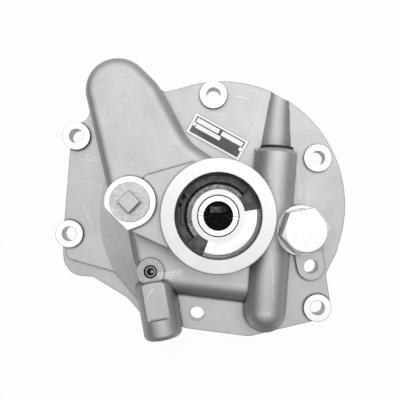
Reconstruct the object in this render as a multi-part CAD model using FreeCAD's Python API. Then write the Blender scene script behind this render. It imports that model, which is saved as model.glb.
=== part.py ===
"""Hydraulic pump: a cast housing with an inner and outer rotor, a control spool and a relief valve.

Sizes are millimetres. The origin is the pump shaft's axis at the rear mounting face, +Z points out of
the front, and the pump rests flat on that rear face.
"""
import FreeCAD, Part
import math
import os

V = FreeCAD.Vector
UP = V(0, 0, 1)

# Clearances
running_clear = 0.04
seat_clear = 0.05
rotor_side_clear = 0.04

# Stack of heights from the mounting face
cover_thick = 7.0
rotor_width = 12.0
web_thick = 14.0
pilot_depth = 10.0
pocket_top = cover_thick + rotor_width + 2 * rotor_side_clear
pilot_floor = pocket_top + web_thick
ring_top = pilot_floor + pilot_depth

# Flange: a round plate with straight-sided ground outside it
flange_thick = 10.0
flange_disc_r = 94.8
flange_disc_at = (2.8, 8.4)
lip_thick = 5.0
boss_r = 10.5
boss_rise = 2.5
bolt_hole_r = 5.5
bolt_top = (-3.5, 92.5)
bolt_upper_left = (-108.2, 60.9)
bolt_left = (-113.7, -13.8)
bolt_upper_right = (76.3, 44.1)
bolt_lower_right = (76.0, -70.5)
bolt_bottom = (-16.1, -75.1)
bolt_lug = (70.9, -38.7)
lug_root = (66.5, -14.5)
lug_rise = 3.0

# Corners of the flange outside its round part: x, y, corner radius
flange_corners = [
    (-60.0, 60.0, 0),
    (-97.5, 84.0, 0),
    (-99.6, 74.6, 8),
    (-106.0, 70.8, 0),
    (bolt_upper_left[0], bolt_upper_left[1], 0),
    (-113.3, 53.0, 0),
    (-118.0, -5.0, 0),
    (bolt_left[0], bolt_left[1], 0),
    (-117.4, -21.0, 0),
    (-116.0, -32.4, 5),
    (-79.6, -42.8, 5),
    (-58.0, -69.0, 0),
    (-45.0, -80.0, 0),
    (-24.2, -86.4, 0),
    (24.0, -92.6, 12),
    (73.3, -80.7, 0),
    (bolt_lower_right[0], bolt_lower_right[1], 0),
    (86.4, -69.0, 0),
    (82.8, -44.5, 8),
    (92.0, -26.0, 0),
    (40.0, 20.0, 0),
]
# Web in the corner between the hump and the round part of the flange
corner_web = [
    (-46.0, 84.0, 0),
    (-48.5, 101.0, 0),
    (-41.5, 94.8, 6),
    (-26.0, 98.6, 0),
    (-26.0, 84.0, 0),
]
lip_corners = [
    (-100.0, -20.0, 0),
    (-120.8, -16.0, 0),
    (-119.5, -46.2, 16),
    (-97.2, -47.3, 10),
    (-70.5, -63.6, 10),
    (-58.0, -78.0, 0),
    (-50.0, -50.0, 0),
]

# Front ring with the pilot bore, the hub in it and the recess round the hub
ring_wall = 10.4
pilot_r = 31.0
ring_r = pilot_r + ring_wall
ring_chamfer = 0.5
pilot_step = 0.8
recess_r = pilot_r - pilot_step
hub_r = 19.6
hub_bore_r = 15.3
recess_start = 10.0
recess_end = 248.0
first_pad_end = 40.0
last_pad_start = 221.5
pad_depth = 5.0
recess_depth = 8.0
hub_skirt_r = 25.2
slot_in_r = 25.4
slot_out_r = 28.4
slot_start = 150.0
slot_end = 195.0
floor_groove = 1.8
floor_groove_depth = 1.0

# Shallow slope that rises from the flange to the left of the ring
slope_r = 90.5
slope_inner_r = 52.0
slope_rise = 7.0
slope_start = 150.0
slope_end = 236.0

# Suction hump, from the front ring to a round end at the upper left
hump_top = 31.0
hump_end = (-74.0, 93.0)
hump_end_r = 24.0
hump_left_edge_r = 7.5
hump_right_edge_r = 9.5
hump_foot = (-78.8, 7.5)
hump_knee = (-44.5, 97.5)
hump_knee_r = 30.0
hump_elbow = (-21.8, 54.6)
hump_elbow_r = 40.0
suction_wall = 6.2
suction_neck = (-60.0, 48.0)
suction_neck_r = 16.0
suction_roof = 6.0
suction_channel_r = 4.5
suction_seal_wall = 1.6

# Raised land and spot-faced boss for the square-headed plug
land_top = 33.0
land_corners = [
    (-53.7, 28.9, 3),
    (-17.6, 39.2, 0),
    (0.0, 0.0, 0),
    (-36.6, -23.1, 0),
    (-63.8, -10.5, 0),
    (-70.0, 10.0, 0),
    (-54.6, 14.0, 0),
]
plug_at = (-63.5, 10.1)
plug_boss_r = 18.6
plug_boss_top = 36.0
plug_boss_flat = 15.7
plug_boss_corner = 13.4
plug_disc_r = 14.4
plug_disc_thick = 1.8
plug_square = 11.7
plug_square_rise = 5.0
plug_square_chamfer = 0.5
plug_shank_r = 12.0
plug_shank_length = 12.0
plug_hole_extra = 4.0
plug_flat_heading = 225.0

# Lower body that joins the valve boss to the port boss
body_top = 23.0
body_edge_r = 13.0
body_side_r = 7.0
body_corners = [
    (-68.5, -6.0, 0),
    (-62.8, -35.0, 0),
    (-54.0, -48.0, 0),
    (-36.0, -59.4, 0),
    (34.0, -67.9, 0),
    (34.0, -5.0, 0),
    (-20.0, 0.0, 0),
]
grub_at = (-50.2, -41.5)
grub_boss_r = 10.3
grub_boss_rise = 0.6
grub_r = 4.9
grub_length = 8.0
grub_recess = 0.8
grub_socket = 5.0
grub_socket_depth = 4.0
orifice_r = 2.7

# Pressure port: a round boss that leans ten degrees
port_end = (-40.9, -92.3)
port_lean = 10.0
port_axis_z = 15.0
port_boss_r = 14.5
port_boss_length = 43.5
port_edge_r = 4.5
port_shoulder_r = 2.5
port_pad_z = 27.0
port_pad_start = 15.7
port_thread_r = 8.5
port_thread_depth = 16.0
port_spot_r = 12.0
port_spot_depth = 0.8
port_passage_r = 5.0
port_passage_length = 52.0
gallery_r = 4.5
gallery_at = 46.0
gallery_end_wall = 5.0

# Valve boss: a lying cylinder with a round lower end
valve_low = (35.2, -72.2)
valve_high = (44.25, 49.9)
valve_axis_z = 17.0
valve_boss_r = 15.5
valve_chamfer = 3.0
mouth_cap_r = 12.4
mouth_cap_lip = 2.0
mouth_cap_plug = 1.0
spool_r = 6.5
spool_bore_length = 104.0
end_plug_r = 10.5
end_plug_depth = 9.0
end_plug_thick = 6.0
end_plug_groove = 2.0
end_plug_pull_r = 2.5
end_plug_pull_depth = 3.0
clip_groove_at = 1.2
clip_groove_width = 1.3
clip_groove_depth = 1.0
clip_width = 2.2
clip_gap = 6.0
scallop_mouth_r = 13.6
scallop_rim_r = 9.3
scallop_length = 48.0
outlet_drilling_r = 2.5

# Control spool, measured from the valve boss's end face
spool_start = 34.0
spool_length = 60.0
spool_land_first = 16.0
spool_land_last = 14.0
spool_travel = 9.0
stop_clear = 0.1
spool_groove_r = 4.5
spool_groove = 7.0
spool_nose_r = 3.5
spool_spring_r = 4.9
spool_spring_wire = 1.6
spool_spring_turns = 5

# Relief valve under the hexagon cap
relief_at = (60.8, -10.7)
relief_boss_r = 18.6
relief_face = 25.0
washer_r = 17.4
washer_thick = 1.5
cap_across_flats = 30.0
cap_rise = 23.0
cap_turn = 10.5
cap_chamfer = 1.0
cap_face_inset = 0.9
cap_shank_r = 9.0
cap_shank_length = 11.0
cap_bore_r = 6.0
cap_roof = 9.0
relief_floor = 4.0
relief_drilling_r = 1.5
relief_seat_r = 6.4
relief_seat_thick = 5.0
relief_seat_hole = 3.0
poppet_length = 13.0
poppet_cone = 4.0
poppet_nose = 0.6
poppet_stem_step = 2.0
poppet_travel = 4.0
relief_spring_wire = 1.4
relief_spring_turns = 5
relief_spring_gap = 0.3
shim_thick = 0.8
shim_clear = 0.2

# Rotors
lobes = 7
eccentricity = 2.5
lobe_centre_r = 27.0
lobe_r = 7.5
rotor_rim = 4.5
mesh_clear = 0.08
arcs_per_tooth = 8
outer_root_r = lobe_centre_r + 2 * eccentricity - lobe_r
outer_rotor_r = outer_root_r + rotor_rim
pocket_r = outer_rotor_r + running_clear
kidney_in_r = 17.6
kidney_out_r = 24.0
kidney_depth = 4.0
cover_kidney_depth = 1.5
inlet_kidney = (115.0, 245.0)
outlet_kidney = (-65.0, 65.0)

# Shaft with its drive sleeve
shaft_r = 12.0
journal_r = 13.5
head_r = 15.0
head_thick = 4.0
head_drop = 0.3
head_chamfer = 0.5
shaft_chamfer = 0.6
shaft_rear_gap = 0.5
front_bore_r = 10.8
front_bore_depth = 10.0
rear_bore_r = 8.0
rear_bore_depth = 14.0
rear_key_width = 4.0
rear_key_depth = 1.6
drive_slot = 2.9
drive_slot_depth = 2.5
drive_slot_turn = -8.0
tongue_width = 4.5
tongue_length = 11.5
tongue_offset = 4.6
tongue_rise = 5.0
tongue_base = 2.0
bush_wall = 2.5
bush_end_gap = 0.5
key_width = 4.0
key_length = 9.0

# Rear cover
cover_land = 12.4
cover_r = pocket_r + eccentricity + cover_land
screw_circle_r = 37.0
screw_r = 2.5
screw_head_r = 4.25
screw_head_thick = 3.5
screw_head_sink = 0.8
screw_reach = 10.0
screw_socket = 4.0
screw_socket_depth = 2.2
screw_hole_clear = 0.25
screw_head_clear = 0.2
dowel_r = 2.0
dowel_length = 12.0
seal_width = 2.2
seal_depth = 1.6

# Data plate and its rivets
plate_at = (-0.5, 60.6)
plate_turn = -29.0
plate_width = 16.4
plate_thick = 0.8
rivet_spacing = 40.4
rivet_margin = 2.7
plate_length = rivet_spacing + 2 * rivet_margin
rivet_r = 1.0
rivet_head_r = 1.7
rivet_head_rise = 0.7
rivet_head_round = 0.5
rivet_reach = 4.0


def at(point, z):
    """Vector of a plan point at a height."""
    return V(point[0], point[1], z)


def polar(r, degrees, z=0.0):
    """Vector at a radius and angle round the pump axis."""
    turn = math.radians(degrees)
    return V(r * math.cos(turn), r * math.sin(turn), z)


def disc(r, low, high, point=(0, 0)):
    """Upright cylinder between two heights."""
    return Part.makeCylinder(r, high - low, at(point, low))


def ring(outer, inner, low, high, point=(0, 0)):
    """Upright tube between two heights."""
    return disc(outer, low, high, point).cut(disc(inner, low, high, point))


def stood(shape, base, axis):
    """Shape that was made along +Z from the origin, stood at base along axis."""
    shape.Placement = FreeCAD.Placement(base, FreeCAD.Rotation(UP, axis))
    return shape


def turned(profile, base=V(0, 0, 0), axis=UP):
    """Solid of revolution from (radius, height) corners."""
    points = [V(r, 0, h) for r, h in profile]
    face = Part.Face(Part.makePolygon(points + [points[0]]))
    return stood(face.revolve(V(0, 0, 0), UP, 360), base, axis)


def prism(wire, low, high):
    """Upright prism over a flat outline that lies at the low height."""
    return Part.Face(wire).extrude(V(0, 0, high - low))


def outline(corners, z):
    """Closed outline through (x, y, radius) corners, rounded by tangent arcs."""
    bends = []
    for i, (x, y, r) in enumerate(corners):
        here = V(x, y, z)
        before = corners[i - 1]
        after = corners[(i + 1) % len(corners)]
        back = (at(before, z) - here).normalize()
        ahead = (at(after, z) - here).normalize()
        if r == 0:
            bends.append((here, None, here))
            continue
        half = back.getAngle(ahead) / 2
        inward = (back + ahead).normalize()
        reach = r / math.tan(half)
        middle = here + inward * (r / math.sin(half) - r)
        bends.append((here + back * reach, middle, here + ahead * reach))
    edges = []
    for i, (start, middle, end) in enumerate(bends):
        if middle is not None:
            edges.append(Part.Arc(start, middle, end).toShape())
        edges.append(Part.LineSegment(end, bends[(i + 1) % len(bends)][0]).toShape())
    return Part.Wire(edges)


def slab(corners, low, high):
    """Prism over rounded corners."""
    return prism(outline(corners, low), low, high)


def bar(start, end, half_width, low, high):
    """Straight wall between two plan points."""
    along = (at(end, low) - at(start, low)).normalize()
    side = UP.cross(along) * half_width
    corners = [at(start, low) + side, at(start, low) - side, at(end, low) - side, at(end, low) + side]
    return prism(Part.makePolygon(corners + [corners[0]]), low, high)


def drilling(r, start, end):
    """Round hole or bar between two points in space."""
    way = end - start
    return Part.makeCylinder(r, way.Length, start, way)


def sector(inner, outer, start, end, low, high):
    """Part of a ring between two angles."""
    middle = (start + end) / 2
    edges = [
        Part.LineSegment(polar(inner, start, low), polar(outer, start, low)).toShape(),
        Part.Arc(polar(outer, start, low), polar(outer, middle, low), polar(outer, end, low)).toShape(),
        Part.LineSegment(polar(outer, end, low), polar(inner, end, low)).toShape(),
        Part.Arc(polar(inner, end, low), polar(inner, middle, low), polar(inner, start, low)).toShape(),
    ]
    return prism(Part.Wire(edges), low, high)


def tapered_slot(first, first_r, second, second_r, low, high):
    """Prism over two round ends and the straight sides that touch both."""
    way = at(second, low) - at(first, low)
    lean = math.degrees(math.asin((first_r - second_r) / way.Length))
    heading = math.degrees(math.atan2(way.y, way.x))
    sides = [heading + 90 - lean, heading - 90 + lean]
    corners = [
        at(first, low) + polar(first_r, sides[0]),
        at(first, low) + polar(first_r, sides[1]),
        at(second, low) + polar(second_r, sides[1]),
        at(second, low) + polar(second_r, sides[0]),
    ]
    middle = prism(Part.makePolygon(corners + [corners[0]]), low, high)
    ends = [disc(first_r, low, high, first), disc(second_r, low, high, second)]
    return middle.multiFuse(ends).removeSplitter()


def top_edges(shape, z, wanted):
    """Edges that lie flat at a height and whose middle passes the test."""
    found = []
    for edge in shape.Edges:
        box = edge.BoundBox
        if abs(box.ZMin - z) < 1e-4 and abs(box.ZMax - z) < 1e-4:
            if wanted(edge.valueAt((edge.FirstParameter + edge.LastParameter) / 2)):
                found.append(edge)
    return found


def hexagon(across_flats, low, high, point, turn):
    """Upright hexagonal prism with its first corner at the angle turn."""
    corner_r = across_flats / math.sqrt(3)
    corners = [at(point, low) + polar(corner_r, turn + 60 * i) for i in range(6)]
    return prism(Part.makePolygon(corners + [corners[0]]), low, high)


def coil(mean_r, wire_r, length, turns, base, axis):
    """Helical spring of eight-sided wire that stays inside its length."""
    pitch = (length - 2 * wire_r) / turns
    helix = Part.makeHelix(pitch, pitch * turns, mean_r)
    corners = []
    for i in range(8):
        turn = math.radians(45 * i + 22.5)
        corners.append(V(mean_r + wire_r * math.cos(turn), 0, wire_r * math.sin(turn)))
    spring = Part.Wire(helix).makePipeShell([Part.makePolygon(corners + [corners[0]])], True, True)
    spring.translate(V(0, 0, wire_r))
    return stood(Part.Solid(spring), base, axis)


def tangent_point(start, centre, r, side):
    """Where a line from start touches a circle on the given side, in plan."""
    way = centre - start
    swing = side * math.degrees(math.asin(r / way.Length))
    heading = math.degrees(math.atan2(way.y, way.x)) + swing
    return start + polar(math.sqrt(way.Length ** 2 - r ** 2), heading)


def crossing(a, b, c, d):
    """Where the plan lines a-b and c-d cross."""
    u = b - a
    w = d - c
    gap = c - a
    reach = (gap.x * w.y - gap.y * w.x) / (u.x * w.y - u.y * w.x)
    return a + u * reach


valve_along = (at(valve_high, 0) - at(valve_low, 0)).normalize()
valve_inward = valve_along * -1
valve_mouth = at(valve_high, valve_axis_z)
port_along = polar(1, -90 + port_lean)
port_mouth = at(port_end, port_axis_z)
rotor_centre = (0, eccentricity)
dowels_at = [polar(screw_circle_r, 90), polar(screw_circle_r, 270)]
cover_screws_at = [polar(screw_circle_r, 45 + 90 * i) for i in range(4)]
plate_axis = polar(1, plate_turn)
rivets_at = [at(plate_at, 0) + plate_axis * (side * rivet_spacing / 2) for side in (-1, 1)]
suction_end_r = hump_end_r - suction_wall
suction_top = hump_top - suction_roof
head_top = pilot_floor - head_drop
journal_top = head_top - head_thick
bush_top = journal_top - bush_end_gap
key_low = pocket_top - rotor_side_clear - rotor_width / 2 - key_length / 2
cap_seat = relief_face + washer_thick
cap_top = cap_seat + cap_rise
shims_low = cap_top - cap_roof - 2 * shim_thick
relief_seat_top = relief_floor + relief_seat_thick
grub_top = body_top + grub_boss_rise - grub_recess
cover_groove_low = (cover_thick - seal_width) / 2
plug_groove_at = end_plug_depth - end_plug_thick + end_plug_groove


def valve_point(distance):
    """Point on the spool's axis, at a distance inward from the boss's end face."""
    return valve_mouth + valve_inward * distance


def flange():
    """Plate with its round part, its straight sides, bolt bosses and lug."""
    plate = disc(flange_disc_r, 0, flange_thick, flange_disc_at)
    plate = plate.fuse(slab(flange_corners, 0, flange_thick))
    bosses = [bolt_top, bolt_upper_left, bolt_left, bolt_upper_right, bolt_lower_right]
    solids = [disc(boss_r, 0, flange_thick + boss_rise, point) for point in bosses]
    lug_top = flange_thick + lug_rise
    solids.append(disc(boss_r, 0, lug_top, bolt_lug))
    solids.append(bar(bolt_lug, lug_root, boss_r, 0, lug_top))
    solids.append(slab(lip_corners, 0, lip_thick))
    solids.append(slab(corner_web, 0, flange_thick))
    return plate.multiFuse(solids)


def slope():
    """Shallow cone on the flange, left of the front ring."""
    top = flange_thick + slope_rise
    cone = Part.makeCone(slope_r, slope_inner_r, slope_rise, V(0, 0, flange_thick))
    part = sector(slope_inner_r / 2, slope_r + 5, slope_start, slope_end, flange_thick, top)
    ground = slab(flange_corners, flange_thick, top)
    return cone.common(part).common(ground)


def front_ring():
    """Round wall of the pilot bore, with its outer edge broken."""
    wall = disc(ring_r, 0, ring_top)
    return wall.makeChamfer(ring_chamfer, top_edges(wall, ring_top, lambda p: True))


def hump():
    """Suction hump, its top edge rounded more on the right than on the left."""
    end = at(hump_end, 0)
    foot = at(hump_foot, 0)
    knee = at(hump_knee, 0)
    left = tangent_point(foot, end, hump_end_r, 1)
    right = tangent_point(knee, end, hump_end_r, -1)
    apex = crossing(foot, left, knee, right)
    corners = [
        (foot.x, foot.y, 0),
        (apex.x, apex.y, hump_end_r),
        (knee.x, knee.y, hump_knee_r),
        (hump_elbow[0], hump_elbow[1], hump_elbow_r),
        (2.0, ring_r - 2, 0),
        (-20.0, 0.0, 0),
        (-60.0, 0.0, 0),
    ]
    body = slab(corners, 0, hump_top)
    arc = top_edges(body, hump_top, lambda p: p.y > end.y and p.x < end.x)
    return body.makeFillet(hump_left_edge_r, hump_right_edge_r, arc)


def land():
    """Raised land and the boss of the square-headed plug, with a flat that ends in a corner."""
    centre = at(plug_at, 0)
    boss = disc(plug_boss_r, 0, plug_boss_top, plug_at)
    away = polar(plug_boss_flat, plug_flat_heading)
    middle = centre + away
    across = polar(2 * plug_boss_r, plug_flat_heading + 90)
    beyond = [middle + across, middle - across, middle - across + away, middle + across + away]
    boss = boss.cut(prism(Part.makePolygon(beyond + [beyond[0]]), 0, plug_boss_top))
    corner = middle + polar(plug_boss_corner, plug_flat_heading + 90)
    touch = tangent_point(corner, centre, plug_boss_r, -1)
    wedge = prism(Part.makePolygon([centre, middle, corner, touch, centre]), 0, plug_boss_top)
    return slab(land_corners, 0, land_top).multiFuse([boss, wedge])


def lower_body():
    """Block below the ring, with its lower edge rounded over the gallery."""
    body = slab(body_corners, 0, body_top)
    lower = top_edges(body, body_top, lambda p: p.y < -57)
    body = body.makeFillet(body_edge_r, lower)
    side = top_edges(body, body_top, lambda p: p.x < -55)
    body = body.makeFillet(body_side_r, side)
    return body.fuse(disc(grub_boss_r, 0, body_top + grub_boss_rise, grub_at))


def port_boss():
    """Leaning round boss with a flat pad on top and a rounded end."""
    inner = port_mouth - port_along * port_boss_length
    boss = drilling(port_boss_r, inner, port_mouth)
    for centre, edge_r in ((port_mouth, port_edge_r), (inner, port_shoulder_r)):
        rim = [edge for edge in boss.Edges if (edge.CenterOfMass - centre).Length < 0.1]
        boss = boss.makeFillet(edge_r, rim)
    pad_start = port_mouth - port_along * port_pad_start
    over = bar(pad_start, inner, port_boss_r + 1, port_pad_z, port_pad_z + port_boss_r)
    foot_start = port_mouth - port_along * (port_boss_r + port_edge_r)
    foot_end = inner + port_along * port_shoulder_r
    foot = bar(foot_start, foot_end, port_boss_r, 0, port_axis_z)
    return boss.cut(over).fuse(foot)


def valve_boss():
    """Lying cylinder with a round lower end and a chamfered upper end."""
    length = (at(valve_high, 0) - at(valve_low, 0)).Length
    profile = [
        (0, 0),
        (valve_boss_r, 0),
        (valve_boss_r, length - valve_chamfer),
        (valve_boss_r - valve_chamfer, length),
        (0, length),
    ]
    low = at(valve_low, valve_axis_z)
    cylinder = turned(profile, low, valve_along)
    end = Part.makeSphere(valve_boss_r, low)
    foot = bar(valve_low, valve_high, valve_boss_r, 0, valve_axis_z)
    heel = disc(valve_boss_r, 0, valve_axis_z, valve_low)
    return cylinder.multiFuse([end, foot, heel])


def casting():
    """The housing before it is bored."""
    solids = [
        slope(),
        front_ring(),
        hump(),
        land(),
        lower_body(),
        port_boss(),
        valve_boss(),
        disc(relief_boss_r, 0, relief_face, relief_at),
    ]
    return flange().multiFuse(solids).removeSplitter()


def front_bores():
    """Pilot bore, recess round the hub, slot to the inlet and hub bore."""
    top = ring_top + 1
    pad_floor = pilot_floor - pad_depth
    recess_floor = pilot_floor - recess_depth
    pilot = disc(pilot_r, pilot_floor, top)
    pads = sector(hub_r, recess_r, recess_start, recess_end, pad_floor, pilot_floor + 1)
    deep = sector(hub_r, recess_r, first_pad_end, last_pad_start, recess_floor, pilot_floor + 1)
    inside = hub_r - 4
    slant = [(inside, recess_floor), (hub_skirt_r, recess_floor), (hub_r, pilot_floor), (inside, pilot_floor)]
    skirt_part = sector(inside + 1, recess_r, first_pad_end, last_pad_start, recess_floor, pilot_floor)
    skirt = turned(slant).common(skirt_part)
    slot = sector(slot_in_r, slot_out_r, slot_start, slot_end, pocket_top + kidney_depth / 2, pilot_floor)
    groove_floor = pilot_floor - floor_groove_depth
    groove_inner = recess_r - floor_groove
    groove = sector(groove_inner, recess_r, recess_end, recess_start + 360, groove_floor, pilot_floor + 1)
    hub_bore = disc(hub_bore_r, pocket_top, top)
    return [pilot, pads, deep.cut(skirt), slot, groove, hub_bore]


def pump_pocket():
    """Rear recess, rotor pocket, kidneys and the seat of the front bush."""
    kidney_top = pocket_top + kidney_depth
    return [
        disc(cover_r + seat_clear, -1, cover_thick),
        disc(pocket_r, cover_thick - 1, pocket_top, rotor_centre),
        disc(journal_r + bush_wall, pocket_top - 1, bush_top),
        sector(kidney_in_r, slot_out_r, *inlet_kidney, pocket_top - 1, kidney_top),
        sector(kidney_in_r, kidney_out_r, *outlet_kidney, pocket_top - 1, kidney_top),
    ]


def suction_bores():
    """Cavity in the hump, open at the rear, and its channel to the inlet."""
    cavity = tapered_slot(hump_end, suction_end_r, suction_neck, suction_neck_r, -1, suction_top)
    channel_z = pocket_top + suction_channel_r + 0.5
    channel = drilling(suction_channel_r, at(suction_neck, channel_z), polar(slot_in_r + 1, 160, channel_z))
    plug_end = plug_boss_top - plug_shank_length
    plug_hole = disc(plug_shank_r + seat_clear, plug_end - plug_hole_extra, plug_boss_top + 1, plug_at)
    link_z = plug_end - 1
    link = drilling(suction_channel_r, at(plug_at, link_z), at(suction_neck, link_z))
    return [cavity, channel, plug_hole, link, suction_seal_space(0)]


def suction_seal_space(gap):
    """Moulded seal or its groove round the suction opening in the mounting face."""
    low = gap if gap else -1
    slots = []
    for wall in (suction_seal_wall + seal_width - gap, suction_seal_wall + gap):
        end_r = suction_end_r + wall
        neck_r = suction_neck_r + wall
        slots.append(tapered_slot(hump_end, end_r, suction_neck, neck_r, low, seal_depth))
    return slots[0].cut(slots[1])


def valve_bores():
    """Spool bore with its plug seat, the scallop before it and the drilling to the outlet."""
    spool_bore = drilling(spool_r, valve_mouth + valve_along, valve_point(spool_bore_length))
    plug_seat = drilling(end_plug_r + seat_clear, valve_mouth + valve_along, valve_point(end_plug_depth))
    groove_end = valve_point(clip_groove_at + clip_groove_width)
    clip_groove = drilling(end_plug_r + clip_groove_depth, valve_point(clip_groove_at), groove_end)
    scallop = Part.makeCone(scallop_mouth_r, scallop_rim_r, scallop_length, valve_mouth, valve_along)
    outlet_z = pocket_top + kidney_depth - 1.5
    outlet = drilling(outlet_drilling_r, V(kidney_out_r - 2, 4, outlet_z), V(valve_high[0] - 4, 4, outlet_z))
    return [spool_bore, plug_seat, clip_groove, scallop, outlet]


def port_bores():
    """Threaded port, its passage, the gallery across and the hole of the grub screw."""
    thread = drilling(port_thread_r, port_mouth + port_along, port_mouth - port_along * port_thread_depth)
    spot = drilling(port_spot_r, port_mouth + port_along, port_mouth - port_along * port_spot_depth)
    passage = drilling(port_passage_r, port_mouth, port_mouth - port_along * port_passage_length)
    near = port_mouth - port_along * gallery_at
    far = valve_point(spool_bore_length - gallery_end_wall)
    gallery = drilling(gallery_r, near, V(far.x, far.y, port_axis_z))
    grub = disc(grub_r + seat_clear, grub_top - grub_length, body_top + grub_boss_rise + 1, grub_at)
    orifice = disc(orifice_r, port_axis_z - 3, grub_top - grub_length, grub_at)
    return [thread, spot, passage, gallery, grub, orifice]


def relief_bores():
    """Spot face, threaded bore, seat and drilling of the relief valve."""
    target = V(valve_high[0] - 4.5, relief_at[1], valve_axis_z - spool_r + 0.5)
    return [
        disc(relief_boss_r, relief_face, ring_top, relief_at),
        disc(cap_shank_r + seat_clear, relief_seat_top, relief_face, relief_at),
        disc(relief_seat_r + seat_clear, relief_floor, relief_seat_top, relief_at),
        disc(relief_seat_hole, relief_floor - 1.5, relief_floor, relief_at),
        drilling(relief_drilling_r, at(relief_at, relief_floor - 0.5), target),
    ]


def fixing_holes():
    """Bolt holes, tapped holes of the rear cover, dowel and rivet holes."""
    bolts = [bolt_top, bolt_upper_left, bolt_left, bolt_upper_right, bolt_lower_right]
    bolts += [bolt_bottom, bolt_lug]
    holes = [disc(bolt_hole_r, -1, flange_thick + boss_r, point) for point in bolts]
    for point in cover_screws_at:
        holes.append(disc(screw_r, cover_thick - 1, cover_thick + screw_reach + 1, point))
    for point in dowels_at:
        holes.append(disc(dowel_r, cover_thick - 1, cover_thick + dowel_length / 2, point))
    for point in rivets_at:
        holes.append(disc(rivet_r, flange_thick - rivet_reach, flange_thick + 1, point))
    return holes


def housing():
    """The cast and bored housing, one piece."""
    body = casting()
    stages = [front_bores, pump_pocket, suction_bores, valve_bores, port_bores, relief_bores, fixing_holes]
    for bores in stages:
        body = body.cut(bores())
    return body


def rear_cover():
    """Round cover, flush with the mounting face, with a groove for its seal."""
    cover = disc(cover_r, 0, cover_thick)
    kidney_floor = cover_thick - cover_kidney_depth
    cuts = [
        ring(cover_r + 1, cover_r - seal_depth, cover_groove_low, cover_groove_low + seal_width),
        disc(shaft_r + bush_wall, -1, cover_thick + 1),
        sector(kidney_in_r, kidney_out_r, *inlet_kidney, kidney_floor, cover_thick + 1),
        sector(kidney_in_r, kidney_out_r, *outlet_kidney, kidney_floor, cover_thick + 1),
    ]
    for point in cover_screws_at:
        cuts.append(disc(screw_r + screw_hole_clear, -1, cover_thick + 1, point))
        cuts.append(disc(screw_head_r + screw_head_clear, -1, screw_head_sink + screw_head_thick, point))
    for point in dowels_at:
        cuts.append(disc(dowel_r, cover_thick - dowel_length / 2, cover_thick + 1, point))
    return cover.cut(cuts)


def cover_seal():
    """Square-section ring in the cover's edge."""
    low = cover_groove_low + seat_clear
    return ring(cover_r, cover_r - seal_depth, low, low + seal_width - 2 * seat_clear)


def cover_screws():
    """Four socket-head screws of the rear cover."""
    screws = []
    seat = screw_head_sink + screw_head_thick
    for point in cover_screws_at:
        screw = disc(screw_head_r, screw_head_sink, seat, point)
        screw = screw.fuse(disc(screw_r, seat, cover_thick + screw_reach, point))
        screws.append(screw.cut(hexagon(screw_socket, 0, screw_head_sink + screw_socket_depth, point, 0)))
    return Part.makeCompound(screws)


def cover_dowels():
    """Two dowel pins between cover and housing."""
    low = cover_thick - dowel_length / 2
    return Part.makeCompound([disc(dowel_r, low, low + dowel_length, point) for point in dowels_at])


def rotor_point(t, inset, z):
    """Point of the inner rotor's outline: the path of a lobe's centre, moved inward by inset."""
    x = lobe_centre_r * math.cos(t) + eccentricity * math.cos(lobes * t)
    y = lobe_centre_r * math.sin(t) + eccentricity * math.sin(lobes * t)
    dx = -lobe_centre_r * math.sin(t) - lobes * eccentricity * math.sin(lobes * t)
    dy = lobe_centre_r * math.cos(t) + lobes * eccentricity * math.cos(lobes * t)
    size = math.hypot(dx, dy)
    return V(x - inset * dy / size, y + inset * dx / size, z)


def rotor_outline(inset, z):
    """Inner rotor's outline as short arcs through its points."""
    arcs = arcs_per_tooth * (lobes - 1)
    step = 2 * math.pi / arcs
    edges = []
    for i in range(arcs):
        start = rotor_point(step * i, inset, z)
        middle = rotor_point(step * (i + 0.5), inset, z)
        end = rotor_point(step * ((i + 1) % arcs), inset, z)
        edges.append(Part.Arc(start, middle, end).toShape())
    return Part.Wire(edges)


def inner_rotor():
    """Six-lobed rotor with its keyway."""
    low = cover_thick + rotor_side_clear
    rotor = prism(rotor_outline(lobe_r + mesh_clear, low), low, low + rotor_width)
    keyway = Part.makeBox(key_width, shaft_r + key_width / 2, rotor_width, V(-key_width / 2, 0, low))
    return rotor.cut(disc(shaft_r + running_clear / 2, low, low + rotor_width)).cut(keyway)


def outer_rotor():
    """Ring with seven round lobes on its inside."""
    low = cover_thick + rotor_side_clear
    high = low + rotor_width
    blank = disc(outer_rotor_r, low, high, rotor_centre)
    space = disc(outer_root_r + mesh_clear, low, high, rotor_centre)
    round_lobes = []
    for i in range(lobes):
        centre = at(rotor_centre, 0) + polar(lobe_centre_r, 270 + 360 * i / lobes)
        round_lobes.append(disc(lobe_r, low, high, centre))
    return blank.cut(space.cut(round_lobes))


def drive_shaft():
    """Shaft with rear drive bore, rotor seat, front journal and slotted head."""
    seat_end = pocket_top - rotor_side_clear
    profile = [
        (0, shaft_rear_gap),
        (shaft_r - shaft_chamfer, shaft_rear_gap),
        (shaft_r, shaft_rear_gap + shaft_chamfer),
        (shaft_r, seat_end),
        (journal_r, seat_end),
        (journal_r, journal_top),
        (head_r, journal_top),
        (head_r, head_top - head_chamfer),
        (head_r - head_chamfer, head_top),
        (0, head_top),
    ]
    shaft = turned(profile)
    keyway_reach = rear_bore_r + rear_key_depth
    keyway_corner = V(-rear_key_width / 2, -keyway_reach, shaft_rear_gap)
    slot_corner = V(-head_r, -drive_slot / 2, head_top - drive_slot_depth)
    slot = Part.makeBox(2 * head_r, drive_slot, drive_slot_depth, slot_corner)
    slot.rotate(V(0, 0, 0), UP, drive_slot_turn)
    cuts = [
        disc(front_bore_r, head_top - front_bore_depth, head_top),
        disc(rear_bore_r, shaft_rear_gap, shaft_rear_gap + rear_bore_depth),
        Part.makeBox(rear_key_width, keyway_reach, rear_bore_depth, keyway_corner),
        rotor_key(),
        slot,
    ]
    return shaft.cut(cuts)


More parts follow.
